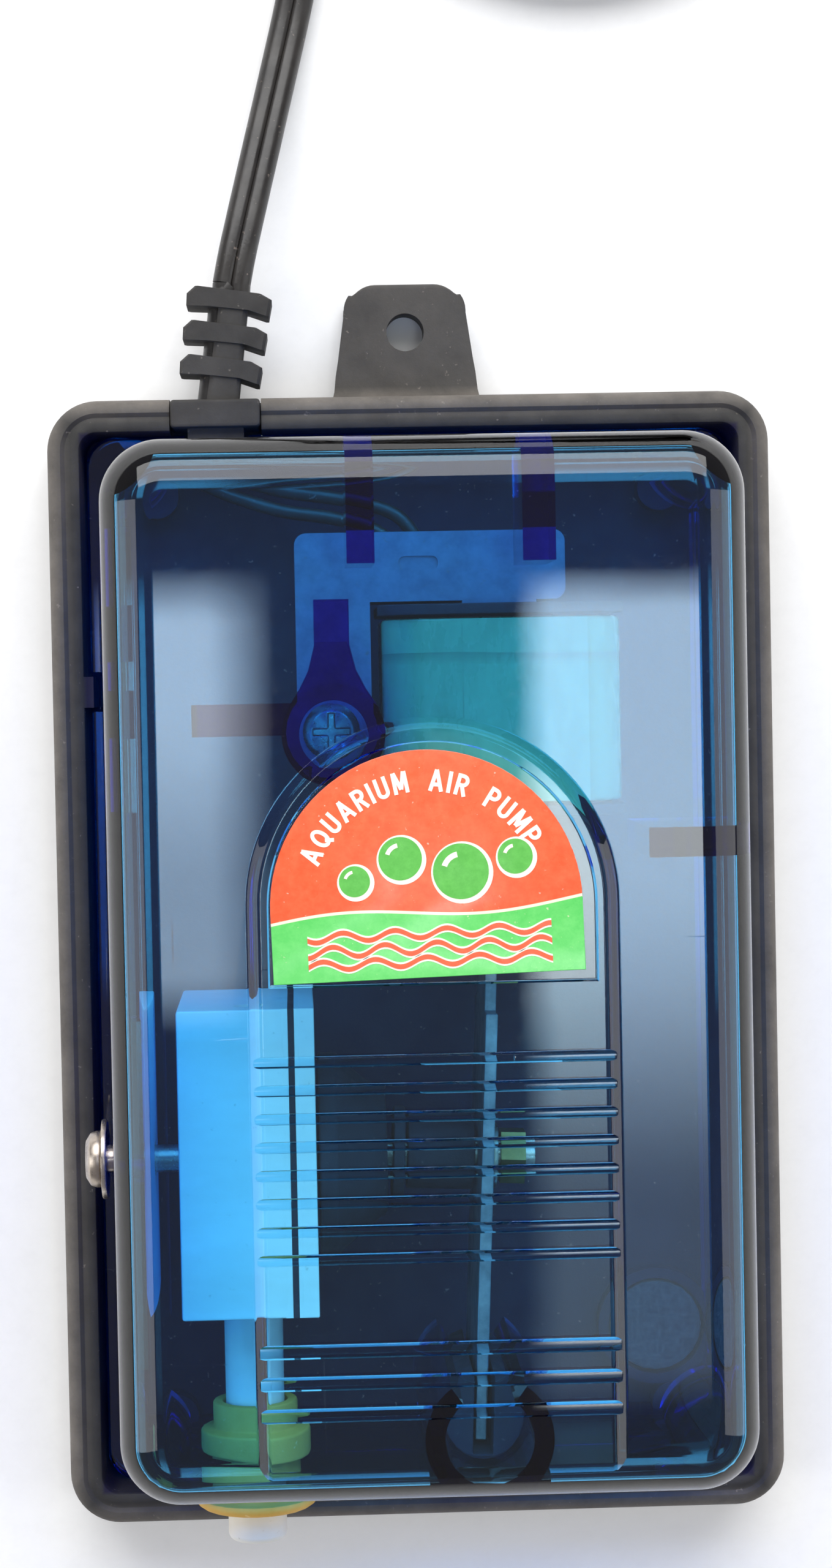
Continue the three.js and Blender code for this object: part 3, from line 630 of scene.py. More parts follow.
def printed_label():
    """Glossy printed film: orange over green, parted by a thin cream wave."""
    s = Surface("printed_label")
    axes = s.new("ShaderNodeSeparateXYZ")
    s.links.new(s.stretched((1, 1, 1), (0, 0, -LABEL_TURN)), axes.inputs[0])
    x, y = axes.outputs["X"], axes.outputs["Y"]
    phase = s.maths("MULTIPLY", s.maths("ADD", x, 1.5 * MM), 215.0)
    swing = s.maths("MULTIPLY", s.maths("SINE", phase), -0.62 * MM)
    slope = s.maths("MULTIPLY", x, 0.045)
    edge = s.maths("ADD", s.maths("ADD", swing, slope), 7.7 * MM)
    above = s.maths("SUBTRACT", y, edge)
    upper = s.span(above, -0.02 * MM, 0.02 * MM)
    line = s.span(s.maths("ABSOLUTE", above), 0.16 * MM, 0.12 * MM)
    ink = s.span(s.noise(900, 3, 0.7), 0.35, 0.7)
    orange = s.mix(ink, srgb(250, 92, 50), srgb(255, 108, 66))
    green = s.mix(ink, srgb(92, 206, 98), srgb(110, 216, 112))
    base = s.mix(line, s.mix(upper, green, orange), srgb(250, 240, 214))
    specks = s.span(s.noise(1500, 2, 0.8), 0.7, 0.76, 0, 0.5)
    s.colour(s.mix(specks, base, srgb(255, 226, 206)))
    s.roughness(s.span(s.noise(300, 4), 0.3, 0.7, 0.24, 0.36))
    s.shader.inputs["Coat Weight"].default_value = 0.4
    s.shader.inputs["Coat Roughness"].default_value = 0.12
    s.bump(s.noise(120, 3), 0.08 * MM, 0.4)
    return s.material


def label_ink(name, dark, light):
    s = Surface(name)
    s.colour(s.mix(s.span(s.noise(1200, 3, 0.7), 0.35, 0.7), dark, light))
    s.roughness(s.span(s.noise(400, 3), 0.3, 0.7, 0.26, 0.4))
    return s.material


M = {
    "black_rubber": black_rubber(),
    "dark_rubber": dark_rubber(),
    "relief_rubber": relief_rubber(),
    "plug_rubber": plug_rubber(),
    "yellow_rubber": yellow_rubber(),
    "cord_jacket": cord_jacket(),
    "white_plastic": white_plastic(),
    "core_steel": core_steel(),
    "spring_steel": spring_steel(),
    "nickel": nickel(),
    "brass": brass(),
    "coil_tape": coil_tape(),
    "ferrite": ferrite(),
    "felt": felt(),
    "clear_blue": clear_blue(),
    "printed_label": printed_label(),
    "ink_cream": label_ink("ink_cream", srgb(244, 236, 218), srgb(255, 250, 238)),
    "ink_green": label_ink("ink_green", srgb(84, 176, 66), srgb(98, 190, 78)),
    "ink_orange": label_ink("ink_orange", srgb(240, 92, 54), srgb(250, 104, 64)),
}

# ---- mains lead ----

CORD_WIDE = 4.1
CORD_THICK = 2.7
CORD_REST = 1.45  # height of a turn that lies on the floor
CORD_UPPER = 4.35  # height of a turn that lies on another
COIL_X, COIL_Y = 19.9, 137.0
COIL_OUTER, COIL_INNER = 29.1, 16.8

CORD_START = [
    (-18.73, 72.85, 8), (-18.1, 76, 7.8), (-17.2, 79.8, 7.2), (-16.1, 84.4, 6.1), (-14.95, 89.2, 4.8),
    (-13.8, 94, 3.4), (-12.7, 98.6, 2.2), (-11.65, 103, 1.55), (-10.7, 107.4, 1.45), (-9.95, 112, 1.45),
    (-9.45, 116.5, 1.45), (-9.3, 120.3, 1.45), (-9.2, 128.5, 1.45),
]
CORD_END = [
    (1.5, 147.2, 7.9), (4.2, 148.3, 9.6), (6.8, 148.85, 11.3), (9.4, 148.9, 12.6), (11.2, 148.9, 13),
    (12.8, 148.9, 13.05),
]


def ease(t):
    return t * t * (3 - 2 * t)


def coil_radius(turn):
    """Inwards on the floor for three and a half turns, then outwards on top of them."""
    span = COIL_OUTER - COIL_INNER
    if turn < 0.25:
        return COIL_OUTER
    if turn < 3.25:
        return COIL_OUTER - span * (turn - 0.25) / 3
    if turn < 3.75:
        return COIL_INNER
    if turn < 6.75:
        return COIL_INNER + span * (turn - 3.75) / 3
    return COIL_OUTER


def coil_turns():
    """The wound part, clockwise from the side where the cord comes in."""
    last = 6.93
    steps = round(last * 24)
    out = []
    for k in range(1, steps + 1):
        turn = last * k / steps
        a = math.radians(180 - 360 * turn)
        r = coil_radius(turn)
        z = CORD_REST + (CORD_UPPER - CORD_REST) * ease(min(1, max(0, (turn - 3.2) / 0.6)))
        out.append(mm(COIL_X + r * math.cos(a), COIL_Y + r * math.sin(a), z))
    return out


def coil_exit():
    """From the top turn, on a tighter bend towards the plug."""
    cx, cy, r = 8.9, 131.9, 17.0
    out = []
    for k in range(1, 8):
        a = math.radians(205 - 115 * k / 9)
        rise = (k / 7) ** 2 * 2.6
        out.append(mm(cx + r * math.cos(a), cy + r * math.sin(a), CORD_UPPER + rise))
    return out


def twin_section():
    """Two round cores side by side with a shallow groove between them: (across, up) in mm."""
    r = CORD_THICK / 2
    half = CORD_WIDE / 2 - r
    waist = 1.04
    out = []
    for k in range(15):
        a = math.radians(-118 + 236 * k / 14)
        out.append((half + r * math.cos(a), r * math.sin(a)))
    out.append((0, waist))
    for k in range(15):
        a = math.radians(62 + 236 * k / 14)
        out.append((-half + r * math.cos(a), r * math.sin(a)))
    out.append((0, -waist))
    return out


def power_cord():
    route = [mm(*p) for p in CORD_START] + coil_turns() + coil_exit() + [mm(*p) for p in CORD_END]
    line = evenly(catmull(route, 6), 1.2 * MM)
    ob = sweep("power_cord_run", line, twin_section())
    finish_piece(ob, "casing", M["cord_jacket"],
                 ("power_cord", "power_cord_coil", "power_cord_end"), 50)
    length = sum((b - a).length for a, b in zip(line, line[1:]))
    return ob, line, length


cord, cord_line, cord_length = power_cord()

# ---- pieces on the CAD's shapes ----

# node: (piece name, body, material, slot, width of the rounded edges in mm)
REFINED = {
    "inlet_felt": ("felt_disc", "casing", "felt", "felt", 0.5),
    "air_outlet_tube": ("outlet_nozzle", "casing", "white_plastic", "white_plastic", 0.2),
    "nozzle_grommet": ("outlet_grommet", "casing", "yellow_rubber", "yellow_rubber", 0.25),
    "inlet_flap": ("inlet_valve_flap", "inlet_valve", "dark_rubber", "black_rubber", 0.08),
    "outlet_flap": ("outlet_valve_flap", "outlet_valve", "dark_rubber", "black_rubber", 0.08),
    "chamber_washer": ("screw_washer", "casing", "nickel", "nickel", 0.1),
    "chamber_screw": ("pan_screw", "casing", "nickel", "nickel", 0.12),
    "diaphragm_inner_plate": ("cup_inner_plate", "arm", "white_plastic", "white_plastic", 0.15),
    "diaphragm_outer_plate": ("cup_outer_plate", "arm", "dark_rubber", "black_rubber", 0.2),
    "arm_spacer": ("rubber_spacer", "arm", "dark_rubber", "black_rubber", 0.25),
    "nut_washer": ("bolt_washer", "arm", "nickel", "nickel", 0.1),
    "diaphragm_nut": ("hex_nut", "arm", "brass", "brass", 0.2),
    "diaphragm_bolt": ("cup_bolt", "arm", "nickel", "nickel", 0.12),
    "swing_arm": ("spring_arm", "arm", "spring_steel", "spring_steel", 0.15),
    "pivot_bush": ("arm_bush", "casing", "dark_rubber", "black_rubber", 0.3),
    "magnet_holder": ("magnet_cradle", "arm", "white_plastic", "white_plastic", 0.25),
    "magnet": ("ferrite_magnet", "arm", "ferrite", "ferrite", 0.15),
    "laminated_core": ("lamination_stack", "casing", "core_steel", "core_steel", 0.12),
    "coil_bobbin": ("bobbin", "casing", "dark_rubber", "black_rubber", 0.2),
    "coil_winding": ("taped_winding", "casing", "coil_tape", "coil_tape", 0.5),
    "core_bolt": ("clamp_bolt", "casing", "nickel", "nickel", 0.15),
    "core_nut": ("clamp_nut", "casing", "nickel", "nickel", 0.25),
    "plug_body": ("plug_moulding", "casing", "plug_rubber", "black_rubber", 0.6),
    "plug_pin_a": ("plug_pin_left", "casing", "nickel", "nickel", 0.3),
    "plug_pin_b": ("plug_pin_right", "casing", "nickel", "nickel", 0.3),
}


def refined_pieces():
    for node, (name, body, material, slot, width) in REFINED.items():
        ob = refined(node, name, width * MM)
        finish_piece(ob, body, M[material], (node,))
        weight_normals(ob)


# ---- tray ----

BASE_X, BASE_Y, BASE_CORNER = 38.8, 60.5, 5.4
INLET_X, INLET_Y = 25.6, -41.7
RELIEF_X, RELIEF_Y = -20.7, 58.8  # middle of the block in the rim's notch
# (inset, height) from the middle of the underside, round the rim, to the middle of the floor
TRAY_PROFILE = [
    (9, 0.6), (6.15, 0.6), (6.0, 0.5), (5.9, 0.08), (5.7, 0), (0.9, 0), (0.3, 0.28), (0, 0.9),
    (0, 9.7), (0.1, 10.4), (0.32, 11.0), (0.66, 11.45), (1.1, 11.75), (1.5, 11.8), (1.75, 11.62),
    (1.95, 11.5), (2.2, 11.55), (2.45, 11.72), (2.8, 11.82), (3.2, 11.8), (3.45, 11.68), (3.6, 11.4),
    (3.65, 2.5), (3.8, 2.1), (4.2, 2.0), (9, 2.0),
]


def tray_ring(inset, height):
    corner = max(BASE_CORNER - inset, 1.6)
    outline = rounded_outline(BASE_X - inset, BASE_Y - inset, BASE_Y - inset, corner, 12)
    return [(x, y, height) for x, y in outline]


def tab_outline(grow=0.0):
    """The hang tab's half outline, mirrored: it narrows upwards to a rounded top."""
    right = [(8.2, 59), (7.6, 60.2), (7.25, 61.6), (7.05, 63.5)]
    right += [(7.0 - 0.9 * t, 63.5 + 6.4 * t) for t in (0.25, 0.5, 0.75, 1.0)]
    right += arc((3.2, 70.2), 2.9, 0, 90, 10)
    outline = right + [(-x, y) for x, y in reversed(right)]
    return [(x + math.copysign(grow, x), y + (grow if y > 72 else 0)) for x, y in outline]


def hang_tab():
    levels = [(-0.55, 0.8), (-0.15, 0.95), (0, 1.4), (0, 4.2), (-0.15, 4.62), (-0.55, 4.8)]
    return loft("tab", [[(x, y, z) for x, y in tab_outline(grow)] for grow, z in levels])


def ring_wall(x, y, outer, inner, z0, z1):
    return boolean(pillar(x, y, outer, z0, z1), pillar(x, y, inner, z0 - 1, z1 + 1), "DIFFERENCE")


def base_tray():
    """The rubber tray: rim with a shallow groove, hang tab, cushions, inlet ring and cord notch."""
    ob = loft("base_tray", [tray_ring(*level) for level in TRAY_PROFILE])
    cushions = [pillar(s * 27.4, y, 2.4, 1.5, 5) for s in (-1, 1) for y in (50.4, -50.2)]
    key = block(-BASE_X + 3.1, -BASE_X + 4.5, 27.7, 31, 1.5, 11.7)
    add_all(ob, [hang_tab(), key, *cushions, ring_wall(INLET_X, INLET_Y, 6.4, 5.3, 1.5, 4.6)])
    cut_all(ob, [
        block(RELIEF_X - 4.9, RELIEF_X + 4.9, 56.2, 61.5, 4, 13),
        pillar(0, 67.85, 2.05, -1, 6),
        pillar(INLET_X, INLET_Y, 2, -1, 3),
    ])
    tidy_mesh(ob)
    finish_piece(ob, "casing", M["black_rubber"], ("rubber_base",), 32)
    weight_normals(ob)


# ---- cover ----

COVER_X, COVER_REAR, COVER_FRONT, COVER_TOP, COVER_LOW = 33.9, 56.1, 55.0, 48.0, 2.4
COVER_CORNER, COVER_FILLET, COVER_WALL, INNER_FILLET = 6.0, 5.0, 1.6, 1.8
DRAFT_FROM, DRAFT_SIDE, DRAFT_REAR, DRAFT_FRONT = 8.0, 0.07, 0.065, 0.135
BOSS_X, BOSS_Y = -9.2, 24.9
CLIP_X, CLIP_Y = 4.62, -43.9
SHAFT_Y, SHAFT_Z = -19.2, 22.0
NOZZLE_X = -18.5


def leaned(x, y, z):
    """The walls lean inwards with height, the front one most."""
    rise = z - DRAFT_FROM
    draft = DRAFT_REAR if y > 0 else DRAFT_FRONT
    return (x - math.copysign(DRAFT_SIDE * rise, x), y - math.copysign(draft * rise, y), z)


def hull(inset, low, fillet):
    """The cover's outside shape, shrunk on every side by the inset, with a rounded top edge."""
    top = COVER_TOP - inset
    levels = [(0, low), (0, low + 0.01)]
    if low > 0:
        levels = [(0.35, low), (0.1, low + 0.12), (0, low + 0.35)]
    levels += [(0, top - fillet - 22), (0, top - fillet - 11)]
    for k in range(13):
        a = math.radians(7.5 * k)
        levels.append((fillet * (1 - math.cos(a)), top - fillet * (1 - math.sin(a))))
    rings = []
    for d, z in levels:
        d += inset
        corner = max(COVER_CORNER - d, 0.6)
        outline = rounded_outline(COVER_X - d, COVER_REAR - d, COVER_FRONT - d, corner, 14)
        rings.append([leaned(x, y, z) for x, y in outline])
    return loft("hull", rings)


def foot_flange():
    levels = [(0.3, 2.4), (0.08, 2.5), (0, 2.75), (0, 6.15), (0.08, 6.4), (0.3, 6.5)]
    rings = []
    for d, z in levels:
        rings.append([(x, y, z) for x, y in rounded_outline(34.9 - d, 56.9 - d, 56.9 - d, 3.3, 12)])
    return loft("flange", rings)


def arm_clip():
    """The C-shaped clip that holds the arm's bush, open towards +Y, and its two legs."""
    half_mouth = math.degrees(0.62)
    outer = arc((CLIP_X, CLIP_Y), 6.3, 90 + half_mouth, 450 - half_mouth, 40)
    inner = arc((CLIP_X, CLIP_Y), 4.35, 450 - half_mouth, 90 + half_mouth, 40)
    hoop = loft("clip", [[(x, y, z) for x, y in outer + inner] for z in (12, 49)])
    middles = (CLIP_X - 4.9, CLIP_X + 4.9)
    return add_all(hoop, [block(x - 1, x + 1, CLIP_Y - 14, CLIP_Y - 3.9, 12, 49) for x in middles])


def boss_flare(roof):
    """Where the boss's rib widens into the round boss."""
    half = [(-4.5, 2.4), (-3.2, 4.4), (-2.3, 6.2), (-1.6, 9)]
    outline = half + [(-x, y) for x, y in reversed(half)]
    return loft("flare", [[(BOSS_X + x, BOSS_Y + y, z) for x, y in outline] for z in (30, roof)])


def cover_fittings():
    """Posts, ribs, bolt boss, wall blocks and the clip, ended inside the cover's walls."""
    roof = COVER_TOP + 1
    first = pillar(31.2, 53.6, 5.6, 5.6, roof)
    others = [pillar(x, y, 5.6, 5.6, roof) for x, y in ((-31.2, 53.6), (31.2, -51.6), (-31.2, -51.6))]
    others += [
        block(-7.6, -4.9, 41.3, 58, 33, roof),
        block(9.4, 12.6, 41.3, 58, 33, roof),
        pillar(BOSS_X, BOSS_Y, 5, 28.3, roof),
        block(BOSS_X - 1.7, BOSS_X + 1.7, BOSS_Y + 3, BOSS_Y + 13, 34, roof),
        block(BOSS_X - 13.6, BOSS_X - 3, BOSS_Y, BOSS_Y + 3.1, 34, roof),
        boss_flare(roof),
        block(-36, -27.5, -37.5, -3, 10, 40),
        block(-36, -27.6, 37.8, 45.4, 24, 42),
        block(-36, -27.6, 29.5, 32.3, 24, 42),
        block(-36, -27.6, 17.6, 24.8, 24, 42),
        block(21.1, 36, 12.4, 15.3, 26, roof),
        arm_clip(),
    ]
    return boolean(add_all(first, others), hull(COVER_WALL / 2, -20, COVER_FILLET - 1), "INTERSECT")


def panel_cutter():
    """The thumb panel: a doorway shape with a softly sloped wall, open at the front."""
    levels = [(16.5, 47.3), (16.75, 47.33), (17.05, 47.45), (17.5, 47.72)]
    levels += [(17.8, 47.9), (18.1, 48.01), (18.1, 54)]
    return loft("panel", [[(x, y, z) for x, y in arch_outline(half, 8.5, -60)] for half, z in levels])


def pocket_cutter():
    """The label's pocket, a shallower doorway in the panel."""
    levels = [(15.7, 0.85, 46.6), (15.8, 0.75, 46.66), (15.85, 0.7, 46.8)]
    levels += [(15.85, 0.7, 47.1), (16.0, 0.55, 47.34), (16.0, 0.55, 49)]
    return loft("pocket", [[(x, y, z) for x, y in arch_outline(half, 8.2, low)] for half, low, z in levels])


def grip_ridge(y, wide):
    """A low bar across the panel with rounded shoulders, sinking into the panel at its ends."""
    half, low, high = wide / 2, 47.0, 47.82
    section = [(-half, low), (-half, 47.4), (-half + 0.08, 47.58), (-half + 0.24, 47.75), (0, high)]
    section += [(-u, z) for u, z in reversed(section[:-1])]
    rings = []
    for x in (-17.5, 17.5):
        rings.append([(x, y + u, z) for u, z in section])
    return loft("ridge", rings)


def cover():
    """The clear cover: a thin drafted shell with its fittings, thumb panel, label pocket and openings."""
    ob = add_all(hull(0, COVER_LOW, COVER_FILLET), [foot_flange()])
    boolean(ob, hull(COVER_WALL, -20, INNER_FILLET), "DIFFERENCE")
    add_all(ob, [cover_fittings()])
    cut_all(ob, [panel_cutter(), pocket_cutter()])
    ridges = [grip_ridge(-6.6 - 2.74 * i, 1.1) for i in range(8)]
    ridges += [grip_ridge(-34.7 - 3.1 * i, 1.4) for i in range(3)]
    add_all(ob, ridges)
    cut_all(ob, [
        pillar(BOSS_X, BOSS_Y, 3.3, 0, 45.6),
        rod((-40, SHAFT_Y, SHAFT_Z), (-20, SHAFT_Y, SHAFT_Z), 1.8),
        rod((NOZZLE_X, -60, SHAFT_Z), (NOZZLE_X, -45, SHAFT_Z), 4.9, 48),
        block(-24.2, -17.2, 50, 60, 0, 11.5),
        block(-40, -33.6, 27.2, 31.5, 0, 7),
    ])
    tidy_mesh(ob)
    ob.name = ob.data.name = "cover_moulding"
    finish_piece(ob, "casing", M["clear_blue"], ("clear_cover",), 32)
    weight_normals(ob)


# ---- moving and inner pieces ----


def diaphragm():
    """The rubber cup, its rim on the valve plate and its crown on the arm, in the CAD's shape."""
    ob = refined("diaphragm_cup", "diaphragm_bellows", 0.25 * MM)
    for polygon in ob.data.polygons:
        polygon.use_smooth = True
    ob.data.set_sharp_from_angle(angle=math.radians(40))
    ob.data.materials.clear()
    ob.data.materials.append(M["dark_rubber"])
    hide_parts("diaphragm_cup")
    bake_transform(ob)


LEADS = {
    "lead_live": [
        (-20.4, 52.2, 8), (-17.5, 51.6, 8.4), (-13, 50.4, 9.2), (-7, 49.4, 10.2), (-1.5, 47.6, 11),
        (1.2, 43.6, 11.4), (1.9, 40, 11.8), (2, 38.2, 12),
    ],
    "lead_neutral": [
        (-22.3, 51.5, 8), (-18.8, 50, 8.4), (-13.8, 48.4, 9.2), (-8, 47.4, 10.2), (-3.4, 45.8, 11),
        (-0.9, 42.8, 11.4), (-0.1, 40, 11.8), (0, 38.2, 12),
    ],
}


def leads():
    for node, route in LEADS.items():
        line = evenly(catmull([mm(*p) for p in route], 8), 0.6 * MM)
        ob = sweep(node + "_wire", line, round_section(0.74))
        finish_piece(ob, "casing", M["cord_jacket"], (node,), 50)


# ---- label ----



LETTER_HALF = 0.19  # half the width of a stroke, mm
LETTER_HIGH = 2.1
LETTER_WIDE = {"A": 1.42, "I": 0.38, "M": 1.5, "P": 1.16, "Q": 1.46, "R": 1.24, "U": 1.26, " ": 1.2}


def strokes():
    """Each letter's strokes as lines of (x, y) points in mm, standing on y = 0 and centred on x = 0."""
    h = LETTER_HIGH
    pin = [(-0.4, 0), (-0.4, h)]
    loop = [(-0.4, h - 0.18), (0, h - 0.18), *arc((0, h - 0.63), 0.45, 90, -90, 10), (-0.4, h - 1.08)]
    ring = [(0.6 * x, y + h / 2) for x, y in arc((0, 0), 0.88, 0, 330, 22)]
    close = [(0.6 * x, y + h / 2) for x, y in arc((0, 0), 0.88, 320, 370, 5)]
    return {
        "A": [[(-0.54, 0), (0, h)], [(0.54, 0), (0, h)], [(-0.34, 0.66), (0.34, 0.66)]],
        "I": [[(0, 0), (0, h)]],
        "M": [
            [(-0.56, 0), (-0.56, h)], [(0.56, 0), (0.56, h)],
            [(-0.5, h), (0, 0.4)], [(0.5, h), (0, 0.4)],
        ],
        "P": [pin, loop],
        "Q": [ring, close, [(0.1, 0.6), (0.6, -0.12)]],
        "R": [pin, loop, [(0, h - 1.08), (0.46, 0)]],
        "U": [[(-0.44, h), (-0.44, 0.62), *arc((0, 0.62), 0.44, 180, 360, 12), (0.44, h)]],
    }


def ribbon(line, half, low, high):
    """A flat stroke of constant width along an open line."""
    sides = [[], []]
    for i, (x, y) in enumerate(line):
        before, after = line[max(i - 1, 0)], line[min(i + 1, len(line) - 1)]
        dx, dy = after[0] - before[0], after[1] - before[1]
        long = math.hypot(dx, dy)
        for side, sign in zip(sides, (1, -1)):
            side.append((x - sign * half * dy / long, y + sign * half * dx / long))
    outline = sides[0] + sides[1][::-1]
    return loft("stroke", [[(x, y, z) for x, y in outline] for z in (low, high)])


def lettering(top):
    """The generic words on the arc, as one thin print."""
    words = "AQUARIUM AIR PUMP"
    radius, start, end = 11.1, 158, 27.5
    places = [LETTER_WIDE[c] + 0.33 for c in words]
    letters = strokes()
    bm = bmesh.new()
    travelled = 0.0
    for character, width in zip(words, places):
        a = math.radians(start + (end - start) * (travelled + width / 2) / sum(places))
        travelled += width
        if character == " ":
            continue
        lines = enumerate(letters[character])
        first, *rest = [ribbon(line, LETTER_HALF, 0.003 * k, 0.05 + 0.004 * k) for k, line in lines]
        add_all(first, rest)
        at = mm(LABEL_ARC[0] + radius * math.cos(a), LABEL_ARC[1] + radius * math.sin(a), 0)
        at.z = top
        first.data.transform(Matrix.Translation(at) @ Matrix.Rotation(a - math.pi / 2, 4, "Z"))
        bm.from_mesh(first.data)
        mesh = first.data
        bpy.data.objects.remove(first)
        bpy.data.meshes.remove(mesh)
    data = bpy.data.meshes.new("label_words")
    bm.to_mesh(data)
    bm.free()
    ob = add_object("label_words", data)
    turn_in_pocket(ob)
    finish_piece(ob, "casing", M["ink_cream"])


def flat_print(name, outline, top, material, height=0.05):
    """A thin printed shape from its (x, y) outline in mm."""
    count = len(outline)
    points = [mm(x, y, 0) + Vector((0, 0, top)) for x, y in outline]
    points += [p + Vector((0, 0, height * MM)) for p in points[:count]]
    faces = [tuple(range(count)), tuple(range(2 * count - 1, count - 1, -1))]
    faces += [(i, (i + 1) % count, count + (i + 1) % count, count + i) for i in range(count)]
    ob = mesh_object(name, points, faces)
    turn_in_pocket(ob)
    finish_piece(ob, "casing", M[material])


# (x, y, radius) in mm
BUBBLES = [(-7.4, 10.9, 1.5), (-2.9, 12.9, 2.1), (2.9, 11.4, 2.7), (8.2, 12.6, 1.7)]


def bubbles(top):
    """Rising air bubbles: a green disc on a wider cream one, each with a cream glint."""
    for i, (x, y, r) in enumerate(BUBBLES):
        rim = arc((x + 0.12, y - 0.12), r + 0.3, 0, 352, 44)
        flat_print(f"bubble_rim_{i}", rim, top, "ink_cream", 0.03)
        flat_print(f"bubble_{i}", arc((x, y), r, 0, 352, 44), top + 0.03 * MM, "ink_green", 0.02)
        glint = arc((x, y), r * 0.72, 160, 100, 10) + arc((x, y), r * 0.52, 100, 160, 10)
        flat_print(f"bubble_glint_{i}", glint, top + 0.05 * MM, "ink_cream", 0.02)


def waves(top):
    """Three water waves on the green band."""
    for i, (y, amplitude) in enumerate([(5.6, 0.42), (4.2, 0.5), (2.9, 0.42)]):
        inks = (("rim", 0.42, 0, "ink_cream"), ("line", 0.24, 0.03, "ink_orange"))
        for kind, half, lift, material in inks:
            xs = [-12.2 + 23.6 * k / 80 for k in range(81)]
            line = [(x, y + amplitude * math.sin((x + i) * 1.25)) for x in xs]
            outline = [(x, v + half) for x, v in line] + [(x, v - half) for x, v in reversed(line)]
            flat_print(f"wave_{kind}_{i}", outline, top + lift * MM, material, 0.03)


def turn_in_pocket(ob):
    """The label sits a little crooked."""
    centre = mm(*LABEL_ARC, 0)
    turn = Matrix.Rotation(LABEL_TURN, 4, "Z")
    ob.data.transform(Matrix.Translation(centre) @ turn @ Matrix.Translation(-centre))


def label():
    ob = refined("label", "label_film", 0.06 * MM)
    turn_in_pocket(ob)
    finish_piece(ob, "casing", M["printed_label"], ("label",))
    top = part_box("label")[1].z
    lettering(top)
    bubbles(top)
    waves(top)


# ---- fine fittings ----


def relief_bar(y, half):
    """A cross bar of the comb, with a sloped left shoulder and a drooping right end."""
    plan = [
        (-half, y + 1.3), (-half + 0.8, y + 2.2), (half - 1.2, y + 2.2), (half, y + 1.7),
        (half - 0.1, y - 0.1), (half - 2.2, y + 0.3), (-half + 2.4, y + 0.2), (-half + 0.1, y),
    ]
    levels = [(0.35, 4.75), (0, 5.1), (0, 10.9), (0.35, 11.25)]
    return loft("bar", [[(x * (1 - d / 5), v, z) for x, v in plan] for d, z in levels])


def strain_relief():
    """The comb: a block in the rim's notch, a slim spine, three bars, and the cord running through."""
    spine = []
    for d, z in ((0.5, 5.0), (0, 5.35), (0, 10.65), (0.5, 11.0)):
        spine.append([(-1.1 + d, 1, z), (2.3 - d, 1, z), (2.0 - d, 13.2, z), (-1.0 + d, 13.2, z)])
    ob = loft("cord_strain_relief", spine)
    add_all(ob, [relief_bar(y, half) for y, half in ((11.1, 4.55), (7.45, 4.5), (3.8, 4.4))])
    turn = Matrix.Translation(mm(RELIEF_X, RELIEF_Y, 0)) @ Matrix.Rotation(-0.14, 4, "Z")
    ob.data.transform(turn)
    rings = []
    for d, z in ((0.3, 4.4), (0, 4.7), (0, 12.0), (0.12, 12.3), (0.4, 12.4)):
        outline = rounded_outline(4.8 - d, 1.5 - d, 1.5 - d, 0.4, 4)
        rings.append([(RELIEF_X + x, RELIEF_Y + y, z) for x, y in outline])
    neck = block(RELIEF_X - 3, RELIEF_X + 3, RELIEF_Y - 5.6, RELIEF_Y + 0.1, 5.4, 11)
    add_all(ob, [loft("flange", rings), neck])
    soften(ob, 0.14 * MM, 40)
    finish_piece(ob, "casing", M["relief_rubber"], ("strain_relief",), 35)
    weight_normals(ob)
    line = [turn @ mm(-0.75, v, 8) for v in (1, 4, 7, 10, 13)] + [mm(-18.78, 72.7, 8)]
    inner = sweep("cord_in_relief", evenly(catmull(line, 6), 1 * MM), round_section(1.42))
    finish_piece(inner, "casing", M["cord_jacket"], (), 50)
    line = [turn @ mm(0.2, 11.5, 8), turn @ mm(0.1, 12.8, 8), mm(-18.71, 72.95, 8)]
    root = sweep("cord_root", evenly(catmull(line, 6), 0.8 * MM), twin_section())
    finish_piece(root, "casing", M["cord_jacket"], (), 50)


def rooms(x0, x1):
    """The outlet room below and the inlet room above."""
    return [block(x0, x1, -32.7, -4.3, 12.5, 25.6), block(x0, x1, -32.7, -4.3, 26.8, 31.5)]


def chamber_slice(name, x0, x1, edge, cutters, material, slot, node):
    """One of the upright slabs that make up the chamber, with its openings."""
    ob = block(x0, x1, -34.2, -2.8, 11, 33)
    soften(ob, edge * MM)
    cut_all(ob, cutters)
    ob.name = ob.data.name = name
    finish_piece(ob, "casing", M[material], (node,))
    weight_normals(ob)


def air_chamber():
    """The chamber, its gasket and the plate with the two valve ports."""
    openings = rooms(-22, -13.6) + [
        rod((-18.5, -35.2, 22), (-18.5, -32.6, 22), 1.8),
        rod((-18.5, -4.4, 29), (-18.5, -1.8, 29), 1.3),
        rod((-26.5, -19.2, 22), (-22.5, -19.2, 22), 1.8),
    ]
    ports = [rod((-14.3, -19.2, z), (-10.6, -19.2, z), 1.4) for z in (28, 15.6)]
    white = ("white_plastic", "white_plastic")
    black = ("dark_rubber", "black_rubber")
    chamber_slice("valve_chamber", -25.5, -14.6, 0.3, openings, *white, "chamber_body")
    chamber_slice("gasket", -14.3, -13.6, 0.1, rooms(-15, -13), *black, "chamber_gasket")
    chamber_slice("ported_plate", -13.3, -11.6, 0.15, ports, *white, "valve_plate")


